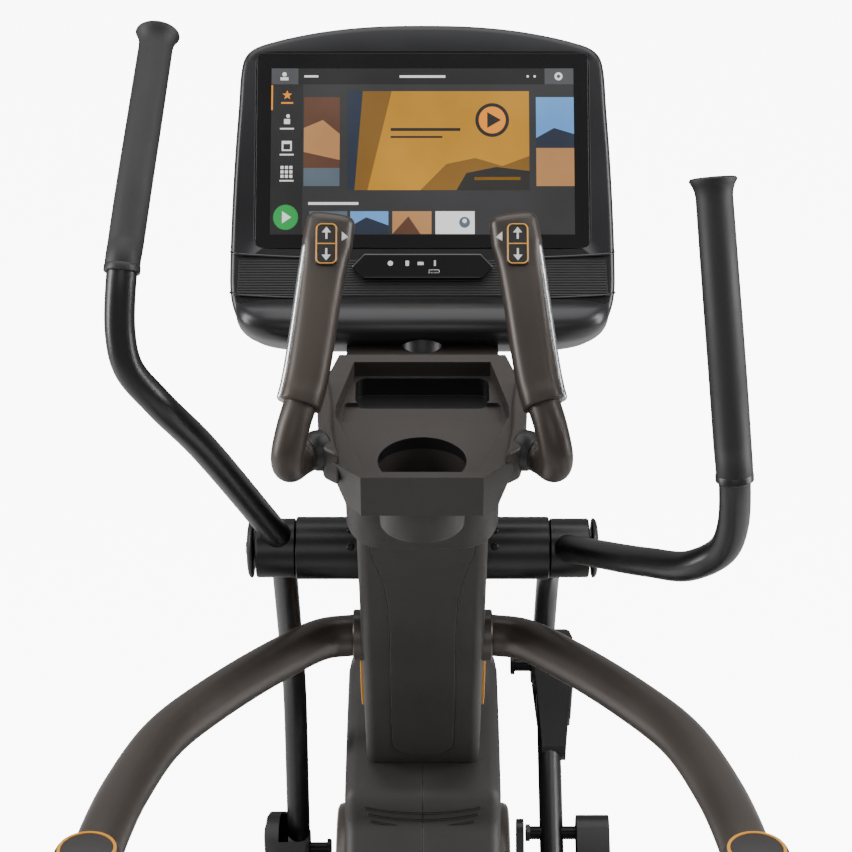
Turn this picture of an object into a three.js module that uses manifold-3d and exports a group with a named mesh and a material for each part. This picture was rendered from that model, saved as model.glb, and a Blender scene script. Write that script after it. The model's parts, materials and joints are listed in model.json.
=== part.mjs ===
// Elliptical trainer with suspended pedals. Millimetres, +Z up, +Y ahead of the user, +X to the user's right.
// Pieces are placed from the hub axis, which is at Y = 0, over a floor at Z = 0. The finished group is then
// moved so that its origin is the middle of its footprint on the floor.
import * as THREE from "three";
import { mergeVertices } from "three/addons/utils/BufferGeometryUtils.js";
import Module from "manifold-3d";

const wasm = await Module();
wasm.setup();

// ---- Driving dimensions ----
const gap = 0.3;                    // between pieces that touch
const runGap = 0.4;                 // radial clearance of a turning fit
const wall = 3;                     // moulded cover wall

const hubHeight = 1105;             // hub axis above the floor
// A point of the side view, as Y and its height above the hub axis.
const place = (y, rise) => ({ y, z: hubHeight + rise });
const hubTubeRadius = 37;
const hubTubeHalf = 148.5;
const hubAxleRadius = 14;
const sleeveRadius = 35;
const sleeveLength = 46;
const endCapLength = 6;

const restSwing = 14.25;            // each arm is this far from the middle of its swing, degrees
const linkX = 165;                  // middle of the lower link tube, from the centre plane
const linkTubeRadius = 15;
const linkUpper = { length: 334, angle: 43.5 };   // forward of straight down, at mid swing
const linkLower = { length: 248, angle: 14.25 };
const linkBossRadius = 26;

const handleTubeRadius = 16;
const gripRadius = 19;
const handleStations = [            // radius from the hub, degrees behind straight up at mid swing, X
  { radius: 60, angle: 50, x: 178 },
  { radius: 264, angle: 51.2, x: 241 },
  { radius: 355, angle: 50.8, x: 279 },
  { radius: 396, angle: 48.2, x: 306 },
  { radius: 426, angle: 44.9, x: 313 },
  { radius: 479, angle: 39.2, x: 309 },
  { radius: 486, angle: 36, x: 307 },
  { radius: 510, angle: 28.8, x: 302 },
  { radius: 555, angle: 19.8, x: 294.5 },
  { radius: 612, angle: 12.3, x: 287 },
];
const handleSteps = 24;
const gripShare = 0.378;            // part of the handle's length that the grip covers
const gripEndWall = 8;

const pedalLinkX = 173;
const pedalTubeRadius = 16;
const pedalLinkSpan = 928;          // from the link pin to the swing pivot
const pedalLinkTilt = 24.57;        // of that line below level, at mid swing
const pedalLinkChange = 0.34;       // turn of the pedal link per turn of the arm
const levelRun = 215;               // straight stretch under the pedal
const sidePinReach = 245;           // from the link pin to the side pin
const sidePinInner = 138;
const outerTubeX = 225;
const outerTubeEndX = 243;
const outerTubeRadius = 13;
const pinRadius = 9;

const pedal = { length: 380, width: 132, thickness: 20, rim: 14, inner: 126, behind: 20 };

const swingX = 273;                 // middle of the swing link
const swingThickness = 20;
const swingWidth = 36;
const swingPivot = place(-560, -93);

const couplerX = 130.5;
const couplerThickness = 10;
const crankCentre = place(-120, -783);
const crankThrow = 172;
const crankAngle = 3.4;             // of the right crank above level, at rest
const crankArmX = 110;
const crankArmThickness = 14;
const crankAxleRadius = 12.5;
const bearingRadius = 26;

const flywheelCentre = place(300, -705);
const flywheelRadius = 117;
const flywheelHalf = 20;
const flywheelShaftRadius = 10;
const drivePulleyRadius = 95;
const shaftPulleyRadius = 24;
const beltX = 51;
const beltWidth = 12;
const beltThickness = 3;

const mastLean = 32.3;              // from vertical, towards the user
const mastHalfWidth = 38;
const mastHalfDepth = 28;
const mastWall = 4;
const mastTop = 224;                // along the mast, from the hub axis
const mastBottom = -590;
const columnHalfWidth = 73;
const columnRear = -92.5;           // faces of the column cover, from the mast axis
const columnFront = 57.5;
const columnCorner = 28;
const columnTop = 214;
const columnBottom = -470;

const housingHalfWidth = 101;
const sideCoverRadius = 123;
const sideCoverDepth = 19;
const plateX = 67;                  // drive side plates of the base
const plateThickness = 6;

const railRadius = 25;
const railFlangeRadius = 31;
const postX = 320;
const postRadius = 30;
const postTop = place(-610, -15);
const postFoot = { y: -690, x: 330 };
const postCapLip = 2;               // of the cap round the post
const postCapRadius = postRadius + postCapLip;
const postCapHeight = 13;

const floorClear = 30;              // height of the feet
const beamHeight = 60;
const rearBeam = { y: -690, half: 372, depth: 60 };
const frontBeam = { y: 670, half: 240, depth: 60 };
const spineHalfWidth = 35;
const wheelRadius = 30;
const wheelX = 216;
const wheelWidth = 24;

const screenWidth = 344;            // active picture of a 15.6 inch panel
const screenHeight = 194;
const screenBezel = 16.5;           // black glass round the picture
const screenGlass = {
  width: screenWidth + 2 * screenBezel, top: screenHeight / 2 + 19, bottom: -screenHeight / 2 - 16,
  thickness: 5,
};
const screenCentre = place(90, 461);
const screenTilt = 35;              // back from vertical
const consoleDepth = 38;
const consoleLip = 38;
const consoleUnderside = hubHeight + 285;

const trayTilt = 6.6;
const trayAnchor = place(-287, 253);  // cup hole centre on the tray's top
const trayThickness = 58;
const trayRim = 18;                 // raised rim round the dish
const trayShoulder = 30;            // sides that the pulse grips' flanges stand against
const cupHoleRadius = 45;
const cupDepth = 72;
const neckRadius = 25;
const neckFoot = place(-66, 217);
const neckHead = place(-28, 306);

const pulseRadius = 16;
const pulseHead = { width: 50, height: 74, depth: 30 };
const sensorRadius = 8;
const rockerSize = { width: 24, height: 46, depth: 7 };

// ---- Small helpers ----
const rad = THREE.MathUtils.degToRad;
const group = new THREE.Group();

function finish(color, roughness, metalness) {
  return new THREE.MeshStandardMaterial({ color, roughness, metalness });
}
const satinBlack = () => finish(0x1d1e20, 0.42, 0.25);
const bronzeGrey = () => finish(0x6e6964, 0.45, 0.35);
const darkShell = () => finish(0x3c3937, 0.5, 0.1);
const mouldedBlack = () => finish(0x1b1b1c, 0.55, 0);
const softBlack = () => finish(0x232325, 0.8, 0);
const steel = () => finish(0x9a9c9f, 0.35, 0.9);
const castIron = () => finish(0x4a4b4e, 0.6, 0.7);

// A closed geometry as a solid that can be joined and cut.
function solidOf(geometry) {
  const source = geometry.index ? geometry.toNonIndexed() : geometry;
  const plain = new THREE.BufferGeometry();
  plain.setAttribute("position", source.getAttribute("position").clone());
  const merged = mergeVertices(plain, 1e-3);
  return new wasm.Manifold(new wasm.Mesh({
    numProp: 3,
    vertProperties: merged.attributes.position.array,
    triVerts: new Uint32Array(merged.index.array),
  }));
}

function join(...solids) {
  return solids.reduce((whole, next) => whole.add(next));
}

function cut(solid, ...tools) {
  return tools.reduce((left, tool) => left.subtract(tool), solid);
}

// The solid as a named mesh of the trainer.
function addPiece(name, solid, material) {
  const made = solid.getMesh();
  const geometry = new THREE.BufferGeometry();
  const step = made.numProp;
  const points = new Float32Array(made.numVert * 3);
  for (let i = 0; i < made.numVert; i++) {
    points.set(made.vertProperties.subarray(i * step, i * step + 3), i * 3);
  }
  geometry.setAttribute("position", new THREE.BufferAttribute(points, 3));
  geometry.setIndex(new THREE.BufferAttribute(made.triVerts, 1));
  const mesh = new THREE.Mesh(geometry, material);
  mesh.name = name;
  group.add(mesh);
  return solid;
}

function box(x0, x1, y0, y1, z0, z1) {
  const shape = new THREE.BoxGeometry(Math.abs(x1 - x0), y1 - y0, z1 - z0);
  shape.translate((x0 + x1) / 2, (y0 + y1) / 2, (z0 + z1) / 2);
  return solidOf(shape);
}

// Facets round a bar: from 8 on a pin to 28 on a large disc, by the square root of the radius.
function facets(radius) {
  return Math.min(28, Math.max(8, 2 * Math.round(1.3 * Math.sqrt(radius))));
}

// A round bar between two points.
function rod(from, to, radius, endRadius = radius) {
  const start = new THREE.Vector3(...from);
  const end = new THREE.Vector3(...to);
  const along = end.clone().sub(start);
  const shape = new THREE.CylinderGeometry(endRadius, radius, along.length(), facets(radius));
  shape.applyQuaternion(new THREE.Quaternion().setFromUnitVectors(
    new THREE.Vector3(0, 1, 0), along.clone().normalize()));
  shape.translate(...start.add(end).multiplyScalar(0.5).toArray());
  return solidOf(shape);
}

// A round bar along X through a point of the side view.
function barX(radius, x0, x1, at) {
  return rod([Math.min(x0, x1), at.y, at.z], [Math.max(x0, x1), at.y, at.z], radius);
}

// A turning bore along X: its flats, and not its corners, are at the radius.
function boreX(radius, x0, x1, at) {
  return barX(radius / Math.cos(Math.PI / facets(radius)), x0, x1, at);
}

// A hexagonal head along X.
function hexX(radius, x0, x1, at) {
  const first = { y: at.y + radius, z: at.z };
  const corners = [0, 60, 120, 180, 240, 300].map((angle) => turned(first, at, angle));
  return profileX(corners, x0, x1);
}

// An outline in the side view (y to the right, z up), extruded along X.
function profileX(points, x0, x1) {
  const outline = new THREE.Shape(points.map((p) => new THREE.Vector2(p.y, p.z)));
  const low = Math.min(x0, x1);
  const shape = new THREE.ExtrudeGeometry(outline, { depth: Math.abs(x1 - x0), bevelEnabled: false });
  shape.applyMatrix4(new THREE.Matrix4().makeBasis(
    new THREE.Vector3(0, 1, 0), new THREE.Vector3(0, 0, 1), new THREE.Vector3(1, 0, 0)));
  shape.translate(low, 0, 0);
  return solidOf(shape);
}

// Two circles and the tangents between them, as side-view points.
function strapOutline(a, b, radiusA, radiusB, steps = 9) {
  const length = Math.hypot(b.y - a.y, b.z - a.z);
  const heading = Math.atan2(b.z - a.z, b.y - a.y);
  const lean = Math.acos((radiusA - radiusB) / length);
  const points = [];
  for (let i = 0; i <= steps; i++) {
    const t = heading + lean + (2 * Math.PI - 2 * lean) * i / steps;
    points.push({ y: a.y + radiusA * Math.cos(t), z: a.z + radiusA * Math.sin(t) });
  }
  for (let i = 0; i <= steps; i++) {
    const t = heading - lean + 2 * lean * i / steps;
    points.push({ y: b.y + radiusB * Math.cos(t), z: b.z + radiusB * Math.sin(t) });
  }
  return points;
}

function strap(a, b, radiusA, radiusB, x0, x1, steps) {
  return profileX(strapOutline(a, b, radiusA, radiusB, steps), x0, x1);
}

// A round tube or bar along a smooth curve.
function sweep(curve, radius, steps) {
  const sides = facets(radius);
  const ring = new THREE.Shape();
  for (let i = 0; i < sides; i++) {
    const t = 2 * Math.PI * i / sides;
    const point = [radius * Math.cos(t), radius * Math.sin(t)];
    if (i === 0) ring.moveTo(...point);
    else ring.lineTo(...point);
  }
  return solidOf(new THREE.ExtrudeGeometry(ring, { steps, bevelEnabled: false, extrudePath: curve }));
}

function smooth(points) {
  return new THREE.CatmullRomCurve3(points.map((p) => new THREE.Vector3(...p)), false, "centripetal");
}

// A point at a distance and heading: forward of straight down for the links.
function below(from, length, forwardAngle) {
  return {
    y: from.y + length * Math.sin(rad(forwardAngle)),
    z: from.z - length * Math.cos(rad(forwardAngle)),
  };
}

function behind(from, length, tilt) {
  return {
    y: from.y - length * Math.cos(rad(tilt)),
    z: from.z - length * Math.sin(rad(tilt)),
  };
}

function turned(point, centre, degrees) {
  const c = Math.cos(rad(degrees));
  const s = Math.sin(rad(degrees));
  const dy = point.y - centre.y;
  const dz = point.z - centre.z;
  return { y: centre.y + dy * c - dz * s, z: centre.z + dy * s + dz * c };
}

// A rounded rectangle, for sections and plates.
function roundedRect(x0, x1, y0, y1, corner, steps = 4) {
  const outline = new THREE.Shape();
  outline.moveTo(x0 + corner, y0);
  outline.lineTo(x1 - corner, y0);
  outline.absarc(x1 - corner, y0 + corner, corner, -Math.PI / 2, 0, false);
  outline.lineTo(x1, y1 - corner);
  outline.absarc(x1 - corner, y1 - corner, corner, 0, Math.PI / 2, false);
  outline.lineTo(x0 + corner, y1);
  outline.absarc(x0 + corner, y1 - corner, corner, Math.PI / 2, Math.PI, false);
  outline.lineTo(x0, y0 + corner);
  outline.absarc(x0 + corner, y0 + corner, corner, Math.PI, 1.5 * Math.PI, false);
  return new THREE.Shape(cleaned(outline.getPoints(steps)));
}

function cleaned(points) {
  return points.filter((p, i) => {
    const before = points[(i + points.length - 1) % points.length];
    return p.distanceTo(before) > 1e-3;
  });
}

// An extrusion in a turned frame: its X, Y and Z run along the three given directions from an origin.
function extrudeIn(frame, outline, low, high) {
  const shape = new THREE.ExtrudeGeometry(outline, { depth: high - low, bevelEnabled: false });
  shape.translate(0, 0, low);
  shape.applyMatrix4(frame);
  return solidOf(shape);
}

function frameOf(origin, xAxis, yAxis, zAxis) {
  const matrix = new THREE.Matrix4().makeBasis(
    new THREE.Vector3(...xAxis), new THREE.Vector3(...yAxis), new THREE.Vector3(...zAxis));
  matrix.setPosition(...origin);
  return matrix;
}

const hub = { y: 0, z: hubHeight };
const sides = [{ name: "left", s: -1 }, { name: "right", s: 1 }];

// ---- Linkage, as points of the side view ----
const midElbow = below(hub, linkUpper.length, linkUpper.angle);
const midPin = below(midElbow, linkLower.length, linkLower.angle);

function linkageAt(swing) {
  const pin = turned(midPin, hub, swing);
  const tiltChange = pedalLinkChange * swing;
  const end = behind(pin, pedalLinkSpan, pedalLinkTilt + tiltChange);
  const levelTilt = tiltChange;
  const knee = behind(end, -levelRun, levelTilt);
  const toKnee = Math.hypot(knee.y - pin.y, knee.z - pin.z);
  const share = sidePinReach / toKnee;
  return {
    swing,
    tiltChange,
    elbow: turned(midElbow, hub, swing),
    pin,
    end,
    knee,
    sidePin: { y: pin.y + (knee.y - pin.y) * share, z: pin.z + (knee.z - pin.z) * share },
  };
}

// ---- Base frame ----
function baseFrame() {
  const beamTop = floorClear + beamHeight;
  const beam = (b) => box(-b.half, b.half, b.y - b.depth / 2, b.y + b.depth / 2, floorClear, beamTop);
  const spine = box(-spineHalfWidth, spineHalfWidth, rearBeam.y, frontBeam.y, floorClear + 8, beamTop);
  const parts = [beam(rearBeam), beam(frontBeam), spine];
  const plateOutline = [
    { y: crankCentre.y - 55, z: beamTop - 30 },
    { y: flywheelCentre.y + 130, z: beamTop - 30 },
    { y: flywheelCentre.y + 130, z: flywheelCentre.z + 160 },
    { y: flywheelCentre.y + 85, z: flywheelCentre.z + 255 },
    { y: flywheelCentre.y - 55, z: flywheelCentre.z + 255 },
    { y: flywheelCentre.y - 180, z: crankCentre.z + 70 },
    { y: crankCentre.y - 25, z: crankCentre.z + 46 },
    { y: crankCentre.y - 55, z: crankCentre.z + 15 },
  ];
  for (const { s } of sides) {
    parts.push(profileX(plateOutline, s * (plateX - plateThickness / 2), s * (plateX + plateThickness / 2)));
    for (const [beamAt, reach] of [[rearBeam, 0.93], [frontBeam, 0.55]]) {
      const x = s * beamAt.half * reach;
      parts.push(rod([x, beamAt.y, 0], [x, beamAt.y, 9], 27));
      parts.push(rod([x, beamAt.y, 8], [x, beamAt.y, floorClear + 2], 9));
    }
    for (const side of [-1, 1]) {
      const x = s * wheelX + side * (wheelWidth / 2 + 4);
      parts.push(box(x - 2, x + 2, frontBeam.y + 20, wheelCentre.y + 9, floorClear + 4, floorClear + 30));
    }
    parts.push(barX(5, s * wheelX - wheelWidth / 2 - 5, s * wheelX + wheelWidth / 2 + 5, wheelCentre));
  }
  const ties = box(-plateX, plateX, flywheelCentre.y + 104, flywheelCentre.y + 126, 66, 110);
  const tiesRear = box(-plateX, plateX, crankCentre.y - 50, crankCentre.y - 10, 66, 110);
  const crankHoles = barX(bearingRadius + gap, -90, 90, crankCentre);
  const shaftHoles = boreX(flywheelShaftRadius + runGap, -90, 90, flywheelCentre);
  return cut(join(...parts, ties, tiesRear), crankHoles, shaftHoles);
}
const wheelCentre = { y: frontBeam.y + frontBeam.depth / 2 + wheelRadius + 3, z: floorClear + 17 };
addPiece("base_frame", baseFrame(), satinBlack());

for (const { name, s } of sides) {
  const tyre = barX(wheelRadius, s * wheelX - wheelWidth / 2, s * wheelX + wheelWidth / 2, wheelCentre);
  const bore = boreX(5 + runGap, s * wheelX - wheelWidth, s * wheelX + wheelWidth, wheelCentre);
  addPiece(name + "_transport_wheel", cut(tyre, bore), softBlack());
}

// ---- Mast: leaning tube, hub cross tube with its axle ends, head plate and lower cross block ----
const lean = rad(mastLean);
const mastFrame = frameOf([0, hub.y, hub.z],
  [1, 0, 0], [0, Math.cos(lean), Math.sin(lean)], [0, -Math.sin(lean), Math.cos(lean)]);

function columnOutline(grow) {
  return roundedRect(-columnHalfWidth - grow, columnHalfWidth + grow,
    columnRear - grow, columnFront + grow, columnCorner + Math.max(grow, 4 - columnCorner));
}

function mast() {
  const outer = roundedRect(-mastHalfWidth, mastHalfWidth, -mastHalfDepth, mastHalfDepth, 6, 2);
  const inner = roundedRect(mastWall - mastHalfWidth, mastHalfWidth - mastWall,
    mastWall - mastHalfDepth, mastHalfDepth - mastWall, 3, 2);
  const tube = cut(extrudeIn(mastFrame, outer, mastBottom, mastTop),
    extrudeIn(mastFrame, inner, mastBottom - 5, mastTop + 5));
  const crossTube = barX(hubTubeRadius, -hubTubeHalf, hubTubeHalf, hub);
  const axleReach = hubTubeHalf + sleeveLength + 3;
  const axle = barX(hubAxleRadius, -axleReach, axleReach, hub);
  const block = roundedRect(-plateX + plateThickness / 2 + gap, plateX - plateThickness / 2 - gap,
    -mastHalfDepth - 2, mastHalfDepth + 2, 5, 2);
  const foot = cut(extrudeIn(mastFrame, block, mastBottom + 8, mastBottom + 60),
    extrudeIn(mastFrame, inner, mastBottom - 5, mastBottom + 70));
  return join(tube, crossTube, axle, foot);
}
addPiece("mast", mast(), satinBlack());

// ---- Column cover: two half shells round the mast ----
function columnHalf(low, high) {
  const shell = cut(extrudeIn(mastFrame, columnOutline(0), columnBottom, columnTop),
    extrudeIn(mastFrame, columnOutline(-wall), columnBottom - 5, columnTop + 5),
    barX(hubTubeRadius + gap, -120, 120, hub));
  const keep = roundedRect(-120, 120, low, high, 1, 1);
  const pads = sides.map(({ s }) => barX(railFlangeRadius + gap,
    s * (columnHalfWidth - 13), s * (columnHalfWidth + 17), railStart));
  return cut(shell.intersect(extrudeIn(mastFrame, keep, columnBottom - 9, columnTop + 9)), ...pads);
}
const railStart = place(12, -125);
addPiece("column_cover_rear", columnHalf(columnRear - 20, -gap / 2), darkShell());
addPiece("column_cover_front", columnHalf(gap / 2, columnFront + 20), darkShell());

// ---- Drive housing: side profile, its inset, and the two halves ----
const housingFoot = 95;
function smoothSide(points) {
  return smooth(points.map((p) => [0, p.y, p.z])).getPoints(9).map((p) => ({ y: p.y, z: p.z }));
}
const housingFront = smoothSide([{ y: 712, z: housingFoot }, { y: 724, z: 240 }, place(690, -705),
  place(600, -545), place(470, -415), place(330, -348)]);
const housingLedge = [place(200, -368), place(91, -399), place(84, -411)];
const housingRear = smoothSide([place(82, -445), place(10, -525), place(-150, -625), place(-226, -715),
  place(-240, -805), { y: -232, z: 190 }, { y: -212, z: housingFoot }]);
const housingProfile = [...housingFront, ...housingLedge, ...housingRear];

function inset(points, distance) {
  return points.map((p, i) => {
    const before = points[(i + points.length - 1) % points.length];
    const after = points[(i + 1) % points.length];
    const inA = new THREE.Vector2(p.y - before.y, p.z - before.z).normalize();
    const inB = new THREE.Vector2(after.y - p.y, after.z - p.z).normalize();
    const bisector = new THREE.Vector2(-inA.y - inB.y, inA.x + inB.x).normalize();
    const reach = distance / Math.max(0.5, bisector.dot(new THREE.Vector2(-inA.y, inA.x)));
    return { y: p.y + bisector.x * reach, z: p.z + bisector.y * reach };
  });
}

function housingHalf(s) {
  const outer = profileX(housingProfile, s * gap / 2, s * housingHalfWidth);
  const inner = profileX(inset(housingProfile, wall), -s * 5, s * (housingHalfWidth - wall));
  const columnWay = extrudeIn(mastFrame, columnOutline(1), columnBottom - 120, 0);
  const axleHole = barX(crankAxleRadius + 6, 0, s * 120, crankCentre);
  const underside = box(-80, 80, -196, 700, 60, 130);
  return cut(outer, inner, columnWay, axleHole, underside);
}

function sideCover(s) {
  const x = s * (housingHalfWidth + gap);
  const rim = sideCoverRadius;
  const profile = [[0, 0], [rim - 2, 0], [rim, 4], [rim, sideCoverDepth - 6], [rim - 5, sideCoverDepth],
    [rim * 0.72, sideCoverDepth], [rim * 0.68, sideCoverDepth - 4], [0, sideCoverDepth - 3]];
  const disc = new THREE.LatheGeometry(profile.map((p) => new THREE.Vector2(...p)), 24);
  disc.rotateZ(-s * Math.PI / 2);
  disc.translate(x, flywheelCentre.y, flywheelCentre.z);
  return solidOf(disc);
}

for (const { name, s } of sides) {
  addPiece("drive_housing_" + name, housingHalf(s), darkShell());
  addPiece(name + "_side_cover", sideCover(s), bronzeGrey());
}

// ---- Crank, drive pulley, belt, flywheel and brake ----
const crankAxleHalf = crankArmX + crankArmThickness / 2 + 4;
addPiece("crank_axle", barX(crankAxleRadius, -crankAxleHalf, crankAxleHalf, crankCentre), steel());

for (const { name, s } of sides) {
  const pin = turned({ y: crankCentre.y + s * crankThrow, z: crankCentre.z }, crankCentre, crankAngle);
  const x0 = s * (crankArmX - crankArmThickness / 2);
  const x1 = s * (crankArmX + crankArmThickness / 2);
  const arm = strap(crankCentre, pin, 24, 17, x0, x1);
  const stud = barX(pinRadius, x0, s * (couplerX - couplerThickness / 2 - 2), pin);
  addPiece(name + "_crank_arm",
    cut(join(arm, stud), barX(crankAxleRadius + gap, -160, 160, crankCentre)), satinBlack());
  const ring = barX(bearingRadius, s * (plateX - 7), s * (plateX + 7), crankCentre);
  addPiece(name + "_crank_bearing", cut(ring, boreX(crankAxleRadius + runGap, -90, 90, crankCentre)), steel());
}

const beltLow = beltX - beltWidth / 2;
const beltHigh = beltX + beltWidth / 2;
const pulleyBody = join(
  barX(drivePulleyRadius, beltLow, beltHigh, crankCentre),
  barX(drivePulleyRadius + 5, beltLow - 4, beltLow - 1, crankCentre),
  barX(drivePulleyRadius - 4, beltLow - 4, beltHigh, crankCentre),
  barX(crankAxleRadius + 9, beltLow - 14, beltHigh + 2, crankCentre));
const lightening = [45, 135, 225, 315].map((angle) => {
  const at = turned({ y: crankCentre.y + drivePulleyRadius * 0.6, z: crankCentre.z }, crankCentre, angle);
  return barX(18, 0, 90, at);
});
addPiece("drive_pulley",
  cut(pulleyBody, barX(crankAxleRadius + gap, 0, 90, crankCentre), ...lightening), mouldedBlack());

const beltOuter = strap(crankCentre, flywheelCentre, drivePulleyRadius + beltThickness + gap,
  shaftPulleyRadius + beltThickness + gap, beltLow + 0.5, beltHigh - 0.5, 16);
const beltInner = strap(crankCentre, flywheelCentre, drivePulleyRadius + 0.8,
  shaftPulleyRadius + 0.8, beltLow - 4, beltHigh + 4, 16);
addPiece("drive_belt", cut(beltOuter, beltInner), softBlack());

const flywheelRim = cut(barX(flywheelRadius, -flywheelHalf, flywheelHalf, flywheelCentre),
  barX(flywheelRadius - 26, 8, 60, flywheelCentre), barX(flywheelRadius - 26, -60, -8, flywheelCentre));
addPiece("flywheel", join(flywheelRim,
  barX(flywheelShaftRadius, -plateX - 10, plateX + 10, flywheelCentre),
  barX(22, -26, 26, flywheelCentre),
  barX(shaftPulleyRadius, beltLow, beltHigh, flywheelCentre),
  barX(18, 20, beltLow + 1, flywheelCentre)), castIron());

// A point round the flywheel: its radius, and its angle above straight ahead.
function round(radius, angle) {
  return turned({ y: flywheelCentre.y + radius, z: flywheelCentre.z }, flywheelCentre, angle);
}
const brakePivot = round(flywheelRadius + 38, -58);
function brakeArm() {
  const angles = [0, 1, 2, 3, 4, 5, 6, 7, 8].map((i) => -48 + 44 * i / 8);
  const low = flywheelRadius + 5;
  const high = flywheelRadius + 17;
  const points = [...angles.map((a) => round(low, a)), ...angles.reverse().map((a) => round(high, a))];
  const root = round(high - 6, -46);
  return cut(join(profileX(points, -flywheelHalf, flywheelHalf), strap(brakePivot, root, 12, 9, -8, 8)),
    boreX(5 + runGap, -40, 40, brakePivot));
}
addPiece("brake_arm", brakeArm(), castIron());

// ---- Rails, rear posts and their caps ----
const railStations = [              // X, Y and height above the hub axis
  [columnHalfWidth + 9, railStart.y, -125], [118, 0, -123], [168, -66, -113], [238, -198, -90],
  [280, -300, -74], [305, -430, -55], [314, -530, -39], [postX - 1, postTop.y + 10, -35],
];
const postStations = [
  [0, postTop.y, postTop.z], [0, postTop.y, postTop.z - 90], [0, postTop.y - 6, postTop.z - 290],
  [6, postTop.y - 40, 430], [postFoot.x - postX, postFoot.y, floorClear + beamHeight - 8],
];

for (const { name, s } of sides) {
  const post = sweep(smooth(postStations.map(([x, y, z]) => [s * (postX + x), y, z])), postRadius, 7);
  const ear = strap(swingPivot, { y: postTop.y, z: swingPivot.z - 10 }, 26, 34, s * 287, s * (postX - 8));
  const swingPin = barX(pinRadius, s * (swingX - swingThickness / 2 - 8), s * 300, swingPivot);
  const pinHead = hexX(16, s * (swingX - swingThickness / 2 - 8), s * (swingX - swingThickness / 2 - 1),
    swingPivot);
  const beamWay = box(-500, 500, postFoot.y - 200, postFoot.y + 200, -100, floorClear + beamHeight + gap);
  addPiece(name + "_rear_post", cut(join(post, ear, swingPin, pinHead), beamWay), bronzeGrey());

  const stations = railStations.map(([x, y, rise]) => [s * x, y, hubHeight + rise]);
  const tube = sweep(smooth(stations), railRadius, 9);
  const flange = barX(railFlangeRadius, s * (columnHalfWidth - 6), s * (columnHalfWidth + 11), railStart);
  const postClear = rod([s * postX, postTop.y, postTop.z - 190], [s * postX, postTop.y, postTop.z + 110],
    postCapRadius + 1);
  addPiece(name + "_rail", cut(join(tube, flange), postClear), bronzeGrey());

  const capLow = postTop.z + gap;
  const cap = [[0, 0], [postCapRadius - 1, 0], [postCapRadius, 2], [postCapRadius, postCapHeight - 4],
    [postCapRadius - 4, postCapHeight], [0, postCapHeight]];
  const lathe = new THREE.LatheGeometry(cap.map((p) => new THREE.Vector2(...p)), 24);
  lathe.rotateX(Math.PI / 2);
  lathe.translate(s * postX, postTop.y, capLow);
  addPiece(name + "_post_cap", solidOf(lathe), darkShell());
}

// ---- Tray, neck and console ----
const tilt = rad(trayTilt);
const trayFrame = frameOf([0, trayAnchor.y, trayAnchor.z],
  [1, 0, 0], [0, Math.cos(tilt), Math.sin(tilt)], [0, -Math.sin(tilt), Math.cos(tilt)]);
const trayRear = 240;               // rear edge of the tray, ahead of the cup hole's centre
const trayDeck = 188;               // where the rim ends and the plain rear deck starts
const trayPolygon = (points) => new THREE.Shape(points.map((p) => new THREE.Vector2(...p)));
const mirrored = (half) => [...half, ...half.map(([x, y]) => [-x, y]).reverse()];

function tray() {
  const outline = mirrored([[62, -60], [99, -22], [107, 32], [112, 100], [88, 200], [88, trayRear]]);
  const block = extrudeIn(trayFrame, trayPolygon(outline), -trayThickness, trayRim);
  const deckWay = extrudeIn(trayFrame, roundedRect(-150, 150, trayDeck, trayRear + 40, 2, 1),
    0, trayRim + 20);
  const shoulder = [[84, -36], [101, -21], [108, 32], [112, 100], [100, 128], [94, 70], [92, 20]];
  const shoulders = [-1, 1].map((s) =>
    extrudeIn(trayFrame, trayPolygon(shoulder.map(([x, y]) => [s * x, y])), -10, trayShoulder));
  const recess = extrudeIn(trayFrame,
    trayPolygon(mirrored([[57, -49], [91, 60], [91, 80], [74, 172]])), 0, 60);
  const shelf = extrudeIn(trayFrame, roundedRect(-84, 84, 74, 116, 4, 2), -5, 10);
  const pocket = extrudeIn(trayFrame, roundedRect(-72, 72, 112, 168, 10, 3), -22, 10);
  const sideFrame = frameOf([0, trayAnchor.y, trayAnchor.z],
    [0, Math.cos(tilt), Math.sin(tilt)], [0, -Math.sin(tilt), Math.cos(tilt)], [1, 0, 0]);
  const chin = extrudeIn(sideFrame,
    trayPolygon([[-120, -27], [-60, -27], [25, -trayThickness], [25, -120], [-120, -120]]), -150, 150);
  const well = rod([0, trayAnchor.y, trayAnchor.z - cupDepth - wall], [0, trayAnchor.y, trayAnchor.z - 6],
    cupHoleRadius - 2, cupHoleRadius + wall);
  const wellHole = rod([0, trayAnchor.y, trayAnchor.z - cupDepth], [0, trayAnchor.y, trayAnchor.z + 20],
    cupHoleRadius - 5, cupHoleRadius + 1);
  const collar = extrudeIn(mastFrame, columnOutline(10), columnTop - 40, columnTop + 22);
  const columnWay = extrudeIn(mastFrame, columnOutline(gap + 0.3), columnTop - 100, columnTop + gap + 1);
  const mastWay = extrudeIn(mastFrame, roundedRect(-mastHalfWidth - 1, mastHalfWidth + 1,
    -mastHalfDepth - 1, mastHalfDepth + 1, 6, 2), columnTop - 100, mastTop + 1);
  const neckWay = rod([0, neckFoot.y, neckFoot.z], [0, neckHead.y, neckHead.z], neckRadius + gap);
  const under = box(-150, 150, -400, 200, neckFoot.z - 420, neckFoot.z - 140);
  return cut(join(cut(block, deckWay, chin), ...shoulders, well, collar), recess, shelf, pocket, wellHole,
    columnWay, mastWay, neckWay, under);
}
const trayPiece = addPiece("accessory_tray", tray(), bronzeGrey());

const neckPost = rod([0, neckFoot.y, neckFoot.z], [0, neckHead.y, neckHead.z], neckRadius);
const screenLean = rad(screenTilt);
const screenFrame = frameOf([0, screenCentre.y, screenCentre.z],
  [1, 0, 0], [0, Math.sin(screenLean), Math.cos(screenLean)],
  [0, -Math.cos(screenLean), Math.sin(screenLean)]);

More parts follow.
